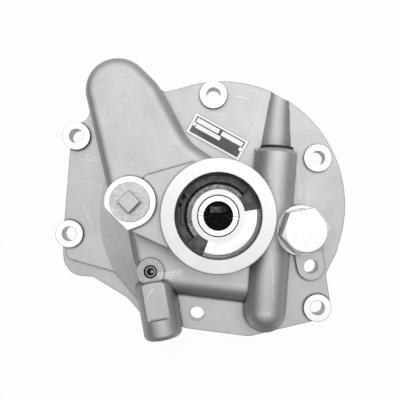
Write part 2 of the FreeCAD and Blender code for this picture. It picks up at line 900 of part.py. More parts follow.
def drive_tongue():
    """Blackened insert with a flat tongue off its middle, pressed into the front bore."""
    low = head_top - front_bore_depth
    base = disc(front_bore_r, low, low + tongue_base)
    corner = V(-tongue_length / 2, tongue_offset - tongue_width / 2, low + tongue_base)
    return base.fuse(Part.makeBox(tongue_length, tongue_width, tongue_rise, corner))


def rotor_key():
    """Square key between shaft and inner rotor."""
    return Part.makeBox(key_width, key_width, key_length, V(-key_width / 2, shaft_r - key_width / 2, key_low))


def front_bush():
    """Plain bearing bush in the web."""
    return ring(journal_r + bush_wall, journal_r + running_clear, pocket_top + rotor_side_clear, bush_top)


def rear_bush():
    """Plain bearing bush in the rear cover."""
    return ring(shaft_r + bush_wall, shaft_r + running_clear, shaft_rear_gap, cover_thick - rotor_side_clear)


def control_spool():
    """Spool with three lands, a nose that rests on the bore's end and a stem that stops its travel."""
    radius = spool_r - running_clear
    end = spool_start + spool_length
    first_end = spool_start + spool_land_first
    last_start = end - spool_land_last
    stem_start = end_plug_depth + spool_travel + stop_clear
    profile = [
        (0, stem_start),
        (spool_nose_r, stem_start),
        (spool_nose_r, spool_start),
        (radius, spool_start),
        (radius, first_end),
        (spool_groove_r, first_end),
        (spool_groove_r, first_end + spool_groove),
        (radius, first_end + spool_groove),
        (radius, last_start - spool_groove),
        (spool_groove_r, last_start - spool_groove),
        (spool_groove_r, last_start),
        (radius, last_start),
        (radius, end),
        (spool_nose_r, end),
        (spool_nose_r, spool_bore_length),
        (0, spool_bore_length),
    ]
    return turned(profile, valve_mouth, valve_inward)


def spool_spring():
    """Spring between the end plug and the spool."""
    length = spool_start - end_plug_depth
    base = valve_point(end_plug_depth)
    return coil(spool_spring_r, spool_spring_wire / 2, length, spool_spring_turns, base, valve_inward)


def bore_end_plug():
    """Plug of the spool bore, with a groove for its seal."""
    low = end_plug_depth - end_plug_thick
    profile = [
        (0, low),
        (end_plug_r, low),
        (end_plug_r, plug_groove_at),
        (end_plug_r - seal_depth, plug_groove_at),
        (end_plug_r - seal_depth, plug_groove_at + seal_width),
        (end_plug_r, plug_groove_at + seal_width),
        (end_plug_r, end_plug_depth),
        (0, end_plug_depth),
    ]
    plug = turned(profile, valve_mouth, valve_inward)
    return plug.cut(drilling(end_plug_pull_r, valve_point(low), valve_point(low + end_plug_pull_depth)))


def end_plug_seal():
    """Ring in the end plug's groove."""
    low = plug_groove_at + seat_clear
    high = plug_groove_at + seal_width - seat_clear
    inner = end_plug_r - seal_depth
    profile = [(inner, low), (end_plug_r, low), (end_plug_r, high), (inner, high)]
    return turned(profile, valve_mouth, valve_inward)


def end_plug_clip():
    """Snap ring in its groove, with a gap."""
    low = clip_groove_at + seat_clear
    high = clip_groove_at + clip_groove_width - seat_clear
    outer = end_plug_r + clip_groove_depth - 2 * seat_clear
    inner = outer - clip_width
    clip = turned([(inner, low), (outer, low), (outer, high), (inner, high)], valve_mouth, valve_inward)
    reach = clip_groove_at + clip_groove_width
    gap = Part.makeBox(clip_gap, 2 * reach, 2 * clip_width, V(-clip_gap / 2, -reach, inner - clip_width / 2))
    gap.translate(valve_mouth)
    return clip.cut(gap)


def mouth_cap():
    """Rubber cap over the valve boss's mouth."""
    profile = [
        (0, -mouth_cap_lip),
        (mouth_cap_r, -mouth_cap_lip),
        (mouth_cap_r, 0),
        (end_plug_r, 0),
        (end_plug_r, mouth_cap_plug),
        (0, mouth_cap_plug),
    ]
    return turned(profile, valve_mouth, valve_inward)


def relief_cap():
    """Hexagon cap with a threaded shank, hollow for the spring."""
    corner_r = cap_across_flats / math.sqrt(3)
    head = hexagon(cap_across_flats, cap_seat, cap_top, relief_at, cap_turn)
    flat_r = cap_across_flats / 2 - cap_face_inset
    profile = [
        (0, cap_seat),
        (corner_r, cap_seat),
        (corner_r, cap_top - cap_chamfer),
        (flat_r, cap_top),
        (0, cap_top),
    ]
    head = head.common(turned(profile, at(relief_at, 0)))
    shank_low = cap_seat - cap_shank_length
    shank = disc(cap_shank_r, shank_low, cap_seat, relief_at)
    return head.fuse(shank).cut(disc(cap_bore_r, shank_low, cap_top - cap_roof, relief_at))


def relief_washer():
    """Sealing washer under the cap."""
    return ring(washer_r, cap_shank_r + seat_clear, relief_face, cap_seat, relief_at)


def relief_seat():
    """Seat ring of the relief valve."""
    return ring(relief_seat_r, relief_seat_hole, relief_floor, relief_seat_top, relief_at)


def relief_poppet():
    """Poppet that closes the seat, guided in the cap, with a stem that stops its lift."""
    low = relief_seat_top
    guide = cap_bore_r - running_clear
    stem = guide - poppet_stem_step
    stem_top = shims_low - poppet_travel - stop_clear
    profile = [
        (0, low),
        (relief_seat_hole + poppet_nose, low),
        (guide, low + poppet_cone),
        (guide, low + poppet_length),
        (stem, low + poppet_length),
        (stem, stem_top),
        (0, stem_top),
    ]
    return turned(profile, at(relief_at, 0))


def relief_spring():
    """Spring between the poppet and the shims."""
    low = relief_seat_top + poppet_length
    mean_r = cap_bore_r - relief_spring_wire / 2 - relief_spring_gap
    return coil(mean_r, relief_spring_wire / 2, shims_low - low, relief_spring_turns, at(relief_at, low), UP)


def relief_shims():
    """Two shims that set the relief pressure."""
    return disc(cap_bore_r - shim_clear, shims_low, shims_low + 2 * shim_thick, relief_at)


def gallery_plug():
    """Plug with a round flange and a square head set as a diamond."""
    shank = disc(plug_shank_r, plug_boss_top - plug_shank_length, plug_boss_top, plug_at)
    face = plug_boss_top + plug_disc_thick
    flange_disc = disc(plug_disc_r, plug_boss_top, face, plug_at)
    half = plug_square / 2
    corners = [at(plug_at, face) + polar(half * math.sqrt(2), 90 * i) for i in range(4)]
    head = prism(Part.makePolygon(corners + [corners[0]]), face, face + plug_square_rise)
    head = head.makeChamfer(plug_square_chamfer, top_edges(head, face + plug_square_rise, lambda p: True))
    return shank.multiFuse([flange_disc, head])


def orifice_screw():
    """Socket grub screw over the port passage."""
    screw = disc(grub_r, grub_top - grub_length, grub_top, grub_at)
    return screw.cut(hexagon(grub_socket, grub_top - grub_socket_depth, grub_top, grub_at, 0))


def data_plate():
    """Bare plate with two rivet holes."""
    middle = at(plate_at, 0)
    side = plate_axis * (plate_length / 2)
    plate = bar(middle - side, middle + side, plate_width / 2, flange_thick, flange_thick + plate_thick)
    return plate.cut([disc(rivet_r, 0, ring_top, point) for point in rivets_at])


def plate_rivets():
    """Two drive rivets of the data plate."""
    top = flange_thick + plate_thick
    rivets = []
    for point in rivets_at:
        head = disc(rivet_head_r, top, top + rivet_head_rise, point)
        head = head.makeFillet(rivet_head_round, top_edges(head, top + rivet_head_rise, lambda p: True))
        rivets.append(head.fuse(disc(rivet_r, flange_thick - rivet_reach, top, point)))
    return Part.makeCompound(rivets)


pieces = {
    "housing": housing,
    "rear_cover": rear_cover,
    "cover_seal_ring": cover_seal,
    "cover_screws": cover_screws,
    "cover_dowels": cover_dowels,
    "suction_seal_ring": lambda: suction_seal_space(seat_clear),
    "inner_rotor": inner_rotor,
    "outer_rotor": outer_rotor,
    "drive_shaft": drive_shaft,
    "drive_tongue": drive_tongue,
    "rotor_key": rotor_key,
    "front_bush": front_bush,
    "rear_bush": rear_bush,
    "control_spool": control_spool,
    "spool_spring": spool_spring,
    "bore_end_plug": bore_end_plug,
    "end_plug_seal": end_plug_seal,
    "end_plug_clip": end_plug_clip,
    "valve_mouth_cap": mouth_cap,
    "relief_cap": relief_cap,
    "relief_washer": relief_washer,
    "relief_seat": relief_seat,
    "relief_poppet": relief_poppet,
    "relief_spring": relief_spring,
    "relief_shims": relief_shims,
    "gallery_plug": gallery_plug,
    "orifice_screw": orifice_screw,
    "data_plate": data_plate,
    "plate_rivets": plate_rivets,
}

os.makedirs("parts", exist_ok=True)
for name, make in pieces.items():
    shape = make()
    shape.exportStep("parts/" + name + ".step")
    print(name, len(shape.Solids), shape.isValid(), round(shape.Volume), shape.BoundBox)
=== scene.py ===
# %% [markdown]
# # A cast hydraulic pump, dressed for its portrait
#
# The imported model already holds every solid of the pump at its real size, in metres, with the mounting
# face on z = 0. This lesson leaves those solids where they are and gives each one the finish that its
# maker gave it: a blasted casting, faces cut on a mill, plated steel, oiled black steel and rubber. Only
# the two springs get stand-ins, because a spring changes its length when the pump works.
# The camera hangs straight above the part, so most of the work is in how flat faces and their rounded
# edges take the light.

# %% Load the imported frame
import math

import bpy
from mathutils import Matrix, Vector


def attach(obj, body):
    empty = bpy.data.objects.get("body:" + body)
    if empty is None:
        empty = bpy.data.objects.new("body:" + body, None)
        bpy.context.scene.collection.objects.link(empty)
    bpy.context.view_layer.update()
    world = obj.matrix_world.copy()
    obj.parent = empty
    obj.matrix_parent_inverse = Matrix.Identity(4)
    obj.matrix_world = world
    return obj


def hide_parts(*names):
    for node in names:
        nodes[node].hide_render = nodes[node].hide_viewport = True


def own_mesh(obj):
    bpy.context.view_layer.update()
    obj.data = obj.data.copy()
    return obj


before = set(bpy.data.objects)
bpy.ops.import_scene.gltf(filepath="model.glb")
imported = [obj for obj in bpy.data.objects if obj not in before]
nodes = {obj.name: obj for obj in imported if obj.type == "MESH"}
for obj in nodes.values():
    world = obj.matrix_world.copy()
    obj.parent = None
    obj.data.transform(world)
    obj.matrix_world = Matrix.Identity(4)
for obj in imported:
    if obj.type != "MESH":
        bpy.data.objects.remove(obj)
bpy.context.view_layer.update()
MM = 0.001
print("pieces in the frame:", len(nodes))

# %% [markdown]
# ## Small helpers for node trees
#
# A material is a graph, and a graph is easier to read when each line adds one step. `feed` accepts a
# socket or a plain value, so `calc`, `noise` and `blend_colour` can be called like ordinary functions.

# %% Node helpers
def feed(tree, socket, value):
    """Link a socket to another, or set its value."""
    if isinstance(value, bpy.types.NodeSocket):
        tree.links.new(value, socket)
    elif value is not None:
        socket.default_value = value


def add(tree, kind, settings=None, **inputs):
    """New node with attributes from settings and inputs by name, underscores standing for spaces."""
    made = tree.nodes.new(kind)
    for key, value in (settings or {}).items():
        setattr(made, key, value)
    for key, value in inputs.items():
        feed(tree, made.inputs[key.replace("_", " ")], value)
    return made


def calc(tree, operation, *values):
    """One step of arithmetic."""
    made = tree.nodes.new("ShaderNodeMath")
    made.operation = operation
    for socket, value in zip(made.inputs, values):
        feed(tree, socket, value)
    return made.outputs[0]


def calc_vector(tree, operation, *values):
    """One step of arithmetic on vectors, which gives a number for a dot product or a distance."""
    made = tree.nodes.new("ShaderNodeVectorMath")
    made.operation = operation
    for socket, value in zip(made.inputs, values):
        feed(tree, socket, value)
    return made.outputs["Value" if operation in ("DOT_PRODUCT", "DISTANCE") else "Vector"]


def noise(tree, position, scale, detail=2.0):
    """Cloudy numbers round a half, with scale in waves per metre."""
    return add(tree, "ShaderNodeTexNoise", Vector=position, Scale=scale, Detail=detail).outputs["Fac"]


def spread(tree, value, low, high, to_low=0.0, to_high=1.0):
    """Value carried from one range to another, held at its ends."""
    made = add(tree, "ShaderNodeMapRange", {"clamp": True}, Value=value)
    for socket, number in zip(list(made.inputs)[1:5], (low, high, to_low, to_high)):
        feed(tree, socket, number)
    return made.outputs[0]


def blend_colour(tree, share, first, second):
    """Colour between two others."""
    made = add(tree, "ShaderNodeMix", {"data_type": "RGBA"})
    feed(tree, made.inputs[0], share)
    feed(tree, made.inputs[6], first)
    feed(tree, made.inputs[7], second)
    return made.outputs[2]


def blend_value(tree, share, first, second):
    """Number between two others."""
    made = add(tree, "ShaderNodeMix", {"data_type": "FLOAT"})
    feed(tree, made.inputs[0], share)
    feed(tree, made.inputs[2], first)
    feed(tree, made.inputs[3], second)
    return made.outputs[0]


def grey(level):
    """Neutral colour of a level."""
    return (level, level, level, 1.0)


def new_group(name, inputs, outputs):
    """Empty shader node group with named sockets: {name: (kind, start value)} and [(name, kind)]."""
    group = bpy.data.node_groups.new(name, "ShaderNodeTree")
    for label, (kind, start) in inputs.items():
        socket = group.interface.new_socket(label, in_out="INPUT", socket_type="NodeSocket" + kind)
        if start is not None:
            socket.default_value = start
    for label, kind in outputs:
        group.interface.new_socket(label, in_out="OUTPUT", socket_type="NodeSocket" + kind)
    print("group:", name, "gives", ", ".join(label for label, kind in outputs))
    return group, group.nodes.new("NodeGroupInput").outputs, group.nodes.new("NodeGroupOutput").inputs


def use_group(tree, group, **inputs):
    """Place a group in a material and return its outputs."""
    return add(tree, "ShaderNodeGroup", {"node_tree": group}, **inputs).outputs


# %% [markdown]
# ## Effects that several finishes share
#
# A casting's skin is not smooth: the sand leaves a fine grain, pores and slow changes of tone. The same
# grain, at another size, serves the sintered rotors and the plug. Cut faces carry turning marks, and every
# handled part has nicks and long scratches. Corners, flanks and faces turned down get painted shade, and
# edges rub bright with a painted highlight and get a painted dark outline. Each effect is one group, built
# once.

# %% Group: grain of a cast or sintered skin
def make_grain():
    group, given, out = new_group(
        "skin_grain",
        {"Position": ("Vector", None), "Size": ("Float", 0.0006), "Pores": ("Float", 0.5)},
        [("Height", "Float"), ("Tone", "Float"), ("Pore", "Float")])
    scale = calc(group, "DIVIDE", 1.0, given["Size"])
    fine = add(group, "ShaderNodeTexNoise", Vector=given["Position"], Scale=scale, Detail=3.0, Roughness=0.6)
    slow = noise(group, given["Position"], 45.0)
    pore_scale = calc(group, "MULTIPLY", scale, 0.16)
    cell = add(group, "ShaderNodeTexVoronoi", Vector=given["Position"], Scale=pore_scale, Randomness=1.0)
    chance = add(group, "ShaderNodeTexWhiteNoise", {"noise_dimensions": "3D"},
                 Vector=cell.outputs["Position"])
    rare = calc(group, "LESS_THAN", chance.outputs["Value"], calc(group, "MULTIPLY", given["Pores"], 0.3))
    dot = spread(group, cell.outputs["Distance"], 0.05, 0.13, 1.0, 0.0)
    pore = calc(group, "MULTIPLY", dot, rare)
    height = calc(group, "SUBTRACT", fine.outputs["Fac"], calc(group, "MULTIPLY", pore, 1.6))
    tone = calc(group, "MULTIPLY_ADD", slow, 0.7, calc(group, "MULTIPLY", fine.outputs["Fac"], 0.3))
    feed(group, out["Height"], height)
    feed(group, out["Tone"], tone)
    feed(group, out["Pore"], pore)
    return group


skin_grain = make_grain()

# %% Group: turning marks round an upright axis
def make_turning():
    group, given, out = new_group(
        "turning_marks",
        {"Position": ("Vector", None), "Centre": ("Vector", (0.0, 0.0, 0.0)), "Pitch": ("Float", 0.0003)},
        [("Height", "Float"), ("Arc", "Float")])
    away = calc_vector(group, "SUBTRACT", given["Position"], given["Centre"])
    part = add(group, "ShaderNodeSeparateXYZ", Vector=away).outputs
    reach = calc(group, "SQRT", calc(group, "ADD", calc(group, "POWER", part[0], 2.0),
                                     calc(group, "POWER", part[1], 2.0)))
    turns = calc(group, "DIVIDE", reach, given["Pitch"])
    rings = add(group, "ShaderNodeTexNoise", {"noise_dimensions": "1D"}, W=turns, Scale=1.0, Detail=2.0)
    heading = calc(group, "ARCTAN2", part[1], part[0])
    unrolled = add(group, "ShaderNodeCombineXYZ", X=calc(group, "MULTIPLY", turns, 0.16),
                   Y=calc(group, "MULTIPLY", heading, 1.6))
    arc = add(group, "ShaderNodeTexNoise", {"noise_dimensions": "2D"}, Vector=unrolled.outputs[0],
              Scale=1.0, Detail=3.0)
    feed(group, out["Height"], rings.outputs["Fac"])
    feed(group, out["Arc"], arc.outputs["Fac"])
    return group


turning_marks = make_turning()

# %% Group: nicks and fine scratches
def make_nicks():
    group, given, out = new_group(
        "handling_nicks",
        {"Position": ("Vector", None), "Spacing": ("Float", 0.02), "Heading": ("Float", 0.6)},
        [("Nick", "Float")])
    turn = add(group, "ShaderNodeVectorRotate", {"rotation_type": "Z_AXIS"}, Vector=given["Position"],
               Angle=given["Heading"])
    stretch = calc_vector(group, "MULTIPLY", turn.outputs[0], (1.0, 7.0, 7.0))
    bend = add(group, "ShaderNodeTexNoise", Vector=given["Position"], Scale=120.0, Detail=1.0)
    shaken = calc_vector(group, "MULTIPLY_ADD", bend.outputs["Color"], (0.004, 0.004, 0.004), stretch)
    scale = calc(group, "DIVIDE", 1.0, given["Spacing"])
    cell = add(group, "ShaderNodeTexVoronoi", Vector=shaken, Scale=scale, Randomness=1.0)
    chance = add(group, "ShaderNodeTexWhiteNoise", {"noise_dimensions": "3D"},
                 Vector=cell.outputs["Position"])
    rare = calc(group, "LESS_THAN", chance.outputs["Value"], 0.22)
    mark = spread(group, cell.outputs["Distance"], 0.05, 0.14, 1.0, 0.0)
    feed(group, out["Nick"], calc(group, "MULTIPLY", mark, rare))
    return group


handling_nicks = make_nicks()

# %% Group: painted shade in corners, on flanks and on faces turned down
def make_corner_shade():
    group, given, out = new_group(
        "painted_corner_shade",
        {"Openness": ("Float", 1.0), "Normal": ("Vector", None), "Position": ("Vector", None)},
        [("Corner", "Float"), ("Flank", "Float"), ("Steep", "Float"), ("Under", "Float")])
    # Painted shade: closed corners, steep flanks and faces turned towards -y are marked for darkening.
    uneven = noise(group, given["Position"], 260.0)
    closed = spread(group, given["Openness"], 0.6, 0.93, 1.0, 0.0)
    corner = calc(group, "MULTIPLY", closed, spread(group, uneven, 0.3, 0.6, 0.7, 1.0))
    facing = add(group, "ShaderNodeSeparateXYZ", Vector=given["Normal"]).outputs
    lift = calc(group, "ABSOLUTE", facing[2])
    steep = calc(group, "MULTIPLY", spread(group, lift, 0.38, 0.14), spread(group, lift, 0.01, 0.08))
    feed(group, out["Corner"], corner)
    feed(group, out["Flank"], spread(group, lift, 0.9, 0.2))
    feed(group, out["Steep"], steep)
    feed(group, out["Under"], spread(group, facing[1], -0.45, -0.8))
    return group


painted_corner_shade = make_corner_shade()

# %% Group: rubbed edges, with a painted highlight and a painted dark outline
def make_rub():
    group, given, out = new_group(
        "rubbed_edges",
        {"Rounded": ("Vector", None), "Normal": ("Vector", None), "Openness": ("Float", 1.0),
         "Position": ("Vector", None)},
        [("Rub", "Float"), ("Rim", "Float")])
    # Rub is edge wear with a painted highlight on open, rounded edges; Rim is a painted dark outline along
    # them.
    agree = calc_vector(group, "DOT_PRODUCT", given["Rounded"], given["Normal"])
    bend = spread(group, agree, 0.985, 0.86)
    edge = calc(group, "MULTIPLY", bend, spread(group, given["Openness"], 0.7, 0.9))
    patch = noise(group, given["Position"], 170.0, 3.0)
    feed(group, out["Rim"], spread(group, agree, 0.998, 0.965))
    feed(group, out["Rub"], calc(group, "MULTIPLY", edge, spread(group, patch, 0.5, 0.62)))
    return group


rubbed_edges = make_rub()

# %% Group: one long streak, used for scratches and for painted highlights
def make_streak():
    group, given, out = new_group(
        "long_streak",
        {"Position": ("Vector", None), "Start": ("Vector", (0.0, 0.0, 0.0)),
         "End": ("Vector", (0.01, 0.0, 0.0)), "Width": ("Float", 0.0005), "Broken": ("Float", 0.5),
         "Ragged": ("Float", 0.5)},
        [("Mark", "Float")])
    reach = calc_vector(group, "SUBTRACT", given["Position"], given["Start"])
    along = calc_vector(group, "SUBTRACT", given["End"], given["Start"])
    flat = calc_vector(group, "MULTIPLY", reach, (1.0, 1.0, 0.2))
    shadow = calc_vector(group, "DOT_PRODUCT", flat, along)
    span = calc_vector(group, "DOT_PRODUCT", along, along)
    share = spread(group, calc(group, "DIVIDE", shadow, span), 0.0, 1.0)
    nearest = add(group, "ShaderNodeVectorMath", {"operation": "SCALE"}, Scale=share)
    feed(group, nearest.inputs[0], along)
    gap = calc_vector(group, "DISTANCE", flat, nearest.outputs[0])
    width = calc(group, "MULTIPLY", given["Width"], spread(group, given["Ragged"], 0.3, 0.7, 0.3, 1.5))
    mark = calc(group, "LESS_THAN", gap, width)
    least = calc(group, "MULTIPLY_ADD", given["Broken"], 0.3, 0.3)
    cover = calc(group, "GREATER_THAN", given["Ragged"], least)
    feed(group, out["Mark"], calc(group, "MULTIPLY", mark, cover))
    return group


long_streak = make_streak()

# %% [markdown]
# ## Where a cutter has been
#
# The housing is one solid with two skins. What a mill or a boring bar has touched is bright and fine,
# and the rest is as cast. Both lie at known places, so a zone is an upright tube: a centre, an inner
# and an outer radius, and two heights. A group tests one zone, and the housing's material joins many.

# %% Group: inside an upright tube
def make_zone():
    names = ["X", "Y", "Z", "Centre X", "Centre Y", "Inner", "Outer", "Low", "High", "From", "To"]
    numbers = {name: ("Float", 0.0) for name in names}
    group, given, out = new_group("upright_zone", numbers, [("Inside", "Float")])
    across = calc(group, "SUBTRACT", given["X"], given["Centre X"])
    up = calc(group, "SUBTRACT", given["Y"], given["Centre Y"])
    reach = calc(group, "SQRT", calc(group, "ADD", calc(group, "POWER", across, 2.0),
                                     calc(group, "POWER", up, 2.0)))
    heading = calc(group, "ARCTAN2", up, across)
    inside = calc(group, "GREATER_THAN", reach, given["Inner"])
    tests = [("LESS_THAN", reach, "Outer"), ("GREATER_THAN", given["Z"], "Low"),
             ("LESS_THAN", given["Z"], "High"), ("GREATER_THAN", heading, "From"),
             ("LESS_THAN", heading, "To")]
    for test, value, bound in tests:
        inside = calc(group, "MULTIPLY", inside, calc(group, test, value, given[bound]))
    feed(group, out["Inside"], inside)
    return group


upright_zone = make_zone()


def zone(start, centre, inner, outer, low, high, first=-200, last=200):
    """Mask of one zone, given in millimetres and degrees."""
    return use_group(
        start.tree, upright_zone, X=start.x, Y=start.y, Z=start.z, Centre_X=centre[0] * MM,
        Centre_Y=centre[1] * MM, Inner=inner * MM, Outer=outer * MM, Low=low * MM, High=high * MM,
        From=math.radians(first), To=math.radians(last))["Inside"]


def joined(tree, masks):
    """Any of several masks."""
    result = masks[0]
    for mask in masks[1:]:
        result = calc(tree, "MAXIMUM", result, mask)
    return result


# %% [markdown]
# ## A material's frame
#
# Every finish below ends in one Principled BSDF. Constants go straight onto its sockets. A Bevel node
# gives sharp edges of the solids the tiny radius that the real ones have, and bump rides on top of it.
# An Ambient Occlusion node measures how open the surface is, which is where painted shade darkens and where
# rubs land.

# %% Start a material
class Start:
    """Material with its tree, its shader and the values that every finish reads."""

    def __init__(self, name, metallic, edge_mm, reach_mm):
        self.material = bpy.data.materials.new(name)
        self.material.use_nodes = True
        tree = self.tree = self.material.node_tree
        self.shader = tree.nodes["Principled BSDF"]
        self.shader.inputs["Metallic"].default_value = metallic
        surface = add(tree, "ShaderNodeNewGeometry").outputs
        self.position = surface["Position"]
        self.normal = surface["Normal"]
        self.x, self.y, self.z = add(tree, "ShaderNodeSeparateXYZ", Vector=self.position).outputs
        self.rounded = add(tree, "ShaderNodeBevel", {"samples": 4}, Normal=self.normal,
                           Radius=edge_mm * MM).outputs[0]
        self.openness = add(tree, "ShaderNodeAmbientOcclusion", {"samples": 6}, Normal=self.normal,
                            Distance=reach_mm * MM).outputs["AO"]
        # Masks of painted shade in corners, on flanks, on steep sides and on faces turned down; below them,
        # edge wear with a painted highlight and a painted dark outline.
        painted_shade = use_group(tree, painted_corner_shade, Openness=self.openness, Normal=self.normal,
                         Position=self.position)
        self.corner, self.flank = painted_shade["Corner"], painted_shade["Flank"]
        self.steep, self.under = painted_shade["Steep"], painted_shade["Under"]
        rub = use_group(tree, rubbed_edges, Rounded=self.rounded, Normal=self.normal, Openness=self.openness,
                        Position=self.position)
        self.rub, self.dark_outline = rub["Rub"], rub["Rim"]

    def finish(self, tone, roughness, height, depth_mm):
        """Link colour, roughness and a bump whose full range is a depth in millimetres."""
        feed(self.tree, self.shader.inputs["Base Color"], tone)
        feed(self.tree, self.shader.inputs["Roughness"], roughness)
        made = add(self.tree, "ShaderNodeBump", Height=height, Normal=self.rounded, Distance=depth_mm * MM)
        feed(self.tree, self.shader.inputs["Normal"], made.outputs[0])
        print("finish:", self.material.name, "in", len(self.tree.nodes), "nodes")
        return self.material


def stain(tree, tone, share, strength, colour):
    """Tone with another colour laid over it where a mask says."""
    return blend_colour(tree, calc(tree, "MULTIPLY", share, strength), tone, colour)


# %% [markdown]
# ## Cast aluminium with cut faces
#
# The housing is the piece that the eye reads first. Its blasted skin is mid grey, with painted shade in the
# corners, on the flanks, on faces turned down and below the land's step, and rubbed edges that carry a
# painted highlight and a painted dark outline. A few long scratches and spots sit where handling left them,
# and some light streaks among them are painted highlights.

# %% Sizes that the housing's zones need, in millimetres and degrees, from the part
RING_TOP = 43.08
RING_R = 41.4
PILOT_FLOOR = 33.08
PILOT_R = 31.0
SPOT_TOP = 12.5
PLUG_SPOT_TOP = 36.0
GRUB_SPOT_TOP = 23.6
RELIEF_FACE = 25.0
HUB_R = 19.6
SKIRT_R = 25.3
GROOVE_R = 28.4
HOLE_R = 5.5
BOLT_SPOT_R = 10.6
PLUG_SPOT_R = 20.8
GRUB_SPOT_R = 10.1
RELIEF_SPOT_R = 18.8
BODY_TOP = 23.0
FLANGE_TOP = 10.0
BODY_AT = (-38.0, -28.0)
PORT_AT = (-41.0, -74.0)
PORT_REACH = 24.0
PLUG_AT = (-63.5, 10.1)
GRUB_AT = (-50.2, -41.5)
RELIEF_AT = (60.8, -10.7)
SPOT_FACES = [(-3.5, 92.5), (-108.2, 60.9), (-113.7, -13.8), (76.3, 44.1), (76.0, -70.5)]
PLAIN_HOLES = [(-16.1, -75.1), (70.9, -38.7)]
WEB = (-112.0, 10.0)
PADS_AND_WEB = (-138.5, 40.0)
SHADE_FADE = (-38.0, -14.0)
# How far a zone reaches above and below the one flat face that it holds
FACE_GAP = 0.12
# A radius past the whole part
WIDE = 200
print("cut faces:", len(SPOT_FACES), "spot faces with a hole,", len(PLAIN_HOLES), "plain holes")

# %% Marks of use on the casting, and painted highlight streaks
# From, to and width in millimetres, how broken, and strength, which is below 0 for a dark mark
SCRATCHES_AND_HIGHLIGHTS = [
    ((-41.5, 73.4, 27), (-33.8, 62.1, 27), 0.5, 0.4, 0.7),
    ((-107.5, 44.0, 10), (-91.4, 42.0, 10), 0.25, 0.62, 0.5),
    ((-101.3, 45.9, 10), (-100.8, 45.9, 10), 0.7, 0.3, 0.45),
    ((-95.2, 44.9, 10), (-94.6, 44.8, 10), 0.7, 0.3, 0.45),
    ((-103.6, 9.0, 10), (-96.7, -7.1, 10), 0.25, 0.6, 0.5),
    ((-100.5, 1.5, 10), (-97.0, -7.5, 10), 0.9, 0.85, 0.5),
    ((-107.0, 27.0, 10), (-88.5, 23.0, 10), 0.25, 0.68, 0.45),
    ((-84.6, 94.2, 29), (-84.4, 94.0, 29), 0.8, 0.3, 0.45),
    ((-88.6, 92.6, 29), (-88.0, 92.7, 29), 0.55, 0.4, 0.35),
    ((-67.5, 84.0, 31), (-67.3, 83.8, 31), 0.8, 0.35, 0.4),
    ((-74.3, 65.4, 31), (-74.1, 65.4, 31), 0.5, 0.2, -0.45),
    ((-62.7, 66.8, 31), (-61.2, 65.4, 31), 0.3, 0.6, -0.4),
    ((-80.9, 77.0, 31), (-80.7, 75.0, 31), 0.35, 0.5, -0.3),
    ((-59.1, 73.4, 31), (-59.3, 72.4, 31), 0.35, 0.5, -0.3),
    ((-43.0, -44.0, 23), (-36.5, -44.6, 23), 2.4, 0.66, 0.6),
    ((-37.5, -43.4, 23), (-27.8, -41.7, 23), 1.7, 0.7, 0.6),
    ((-52.4, -60.5, 26), (-48.2, -53.8, 26), 0.6, 0.6, 0.55),
    # Painted highlight: the light line along the port pad's right edge.
    ((-40.4, -50.5, 25), (-36.4, -70.0, 25), 0.4, 0.5, 0.6),
    ((84.5, 10.6, 10), (84.8, 10.6, 10), 0.5, 0.2, -0.4),
    ((86.8, 10.6, 10), (87.1, 10.6, 10), 0.5, 0.2, -0.4),
    ((-3.8, 78.5, 10), (4.6, 77.4, 10), 0.35, 0.66, 0.5),
    ((14.6, 91.7, 10), (23.8, 90.0, 10), 0.4, 0.62, 0.55),
    ((22.5, 97.0, 10), (31.0, 94.5, 10), 0.25, 0.66, 0.5),
    ((61.6, 39.0, 10), (63.0, 12.1, 10), 0.35, 0.6, 0.45),
    ((69.2, 20.0, 10), (69.2, 9.0, 10), 0.3, 0.62, 0.45),
    ((26.1, 70.5, 10), (26.1, 69.7, 10), 0.5, 0.3, -0.5),
    # Painted highlights: light streaks along the valve boss's crest and on its round end.
    ((37.6, 41.0, 31), (38.6, -12.0, 32), 0.35, 0.72, 0.6),
    ((38.9, -33.3, 31), (40.0, -60.9, 31), 0.35, 0.66, 0.75),
    ((31.0, -70.5, 29), (38.5, -70.0, 29), 2.2, 0.92, 0.55),
    ((29.5, -20.3, 43), (29.8, -20.4, 43), 0.45, 0.2, -0.4),
    ((-39.0, -85.0, 27), (-38.0, -90.5, 27), 0.3, 0.4, -0.5),
]
print("marks of use:", len(SCRATCHES_AND_HIGHLIGHTS))


# %% Join the marks in two masks
def scratch_and_highlight_marks(start):
    """Mask of all light marks, painted highlights among them, and mask of all dark marks."""
    tree = start.tree
    ragged = noise(tree, start.position, 1500.0, 3.0)
    found = {True: 0.0, False: 0.0}
    for first, last, width, broken, strength in SCRATCHES_AND_HIGHLIGHTS:
        mark = use_group(tree, long_streak, Position=start.position, Start=[v * MM for v in first],
                         End=[v * MM for v in last], Width=width * MM, Broken=broken, Ragged=ragged)["Mark"]
        weighed = calc(tree, "MULTIPLY", mark, abs(strength))
        found[strength > 0] = calc(tree, "MAXIMUM", found[strength > 0], weighed)
    return found[True], found[False]


# %% Where painted shade falls on the skin
def below(start, height):
    """Mask of what lies under a height in millimetres."""
    return calc(start.tree, "LESS_THAN", start.z, height * MM)


def body_shade(start):
    """Painted shadow on the lower body, wide and soft below the step of the land."""
    tree = start.tree
    near = add(tree, "ShaderNodeAmbientOcclusion", {"samples": 6}, Normal=start.normal,
               Distance=16 * MM).outputs["AO"]
    top = zone(start, BODY_AT, 0, 60, BODY_TOP - 0.1, BODY_TOP + 0.1)
    fade = spread(tree, start.x, SHADE_FADE[0] * MM, SHADE_FADE[1] * MM, 1.0, 0.0)
    left = calc(tree, "MULTIPLY", top, fade)
    return calc(tree, "MULTIPLY", left, spread(tree, near, 0.5, 0.92, 1.0, 0.0))


def corner_shade_strength(start):
    """Strength of the painted shade in corners: heavy at the lower left, light at the upper right, where the
    light comes from.
    """
    return spread(start.tree, calc(start.tree, "ADD", start.x, start.y), 0.0, 90 * MM, 0.85, 0.35)


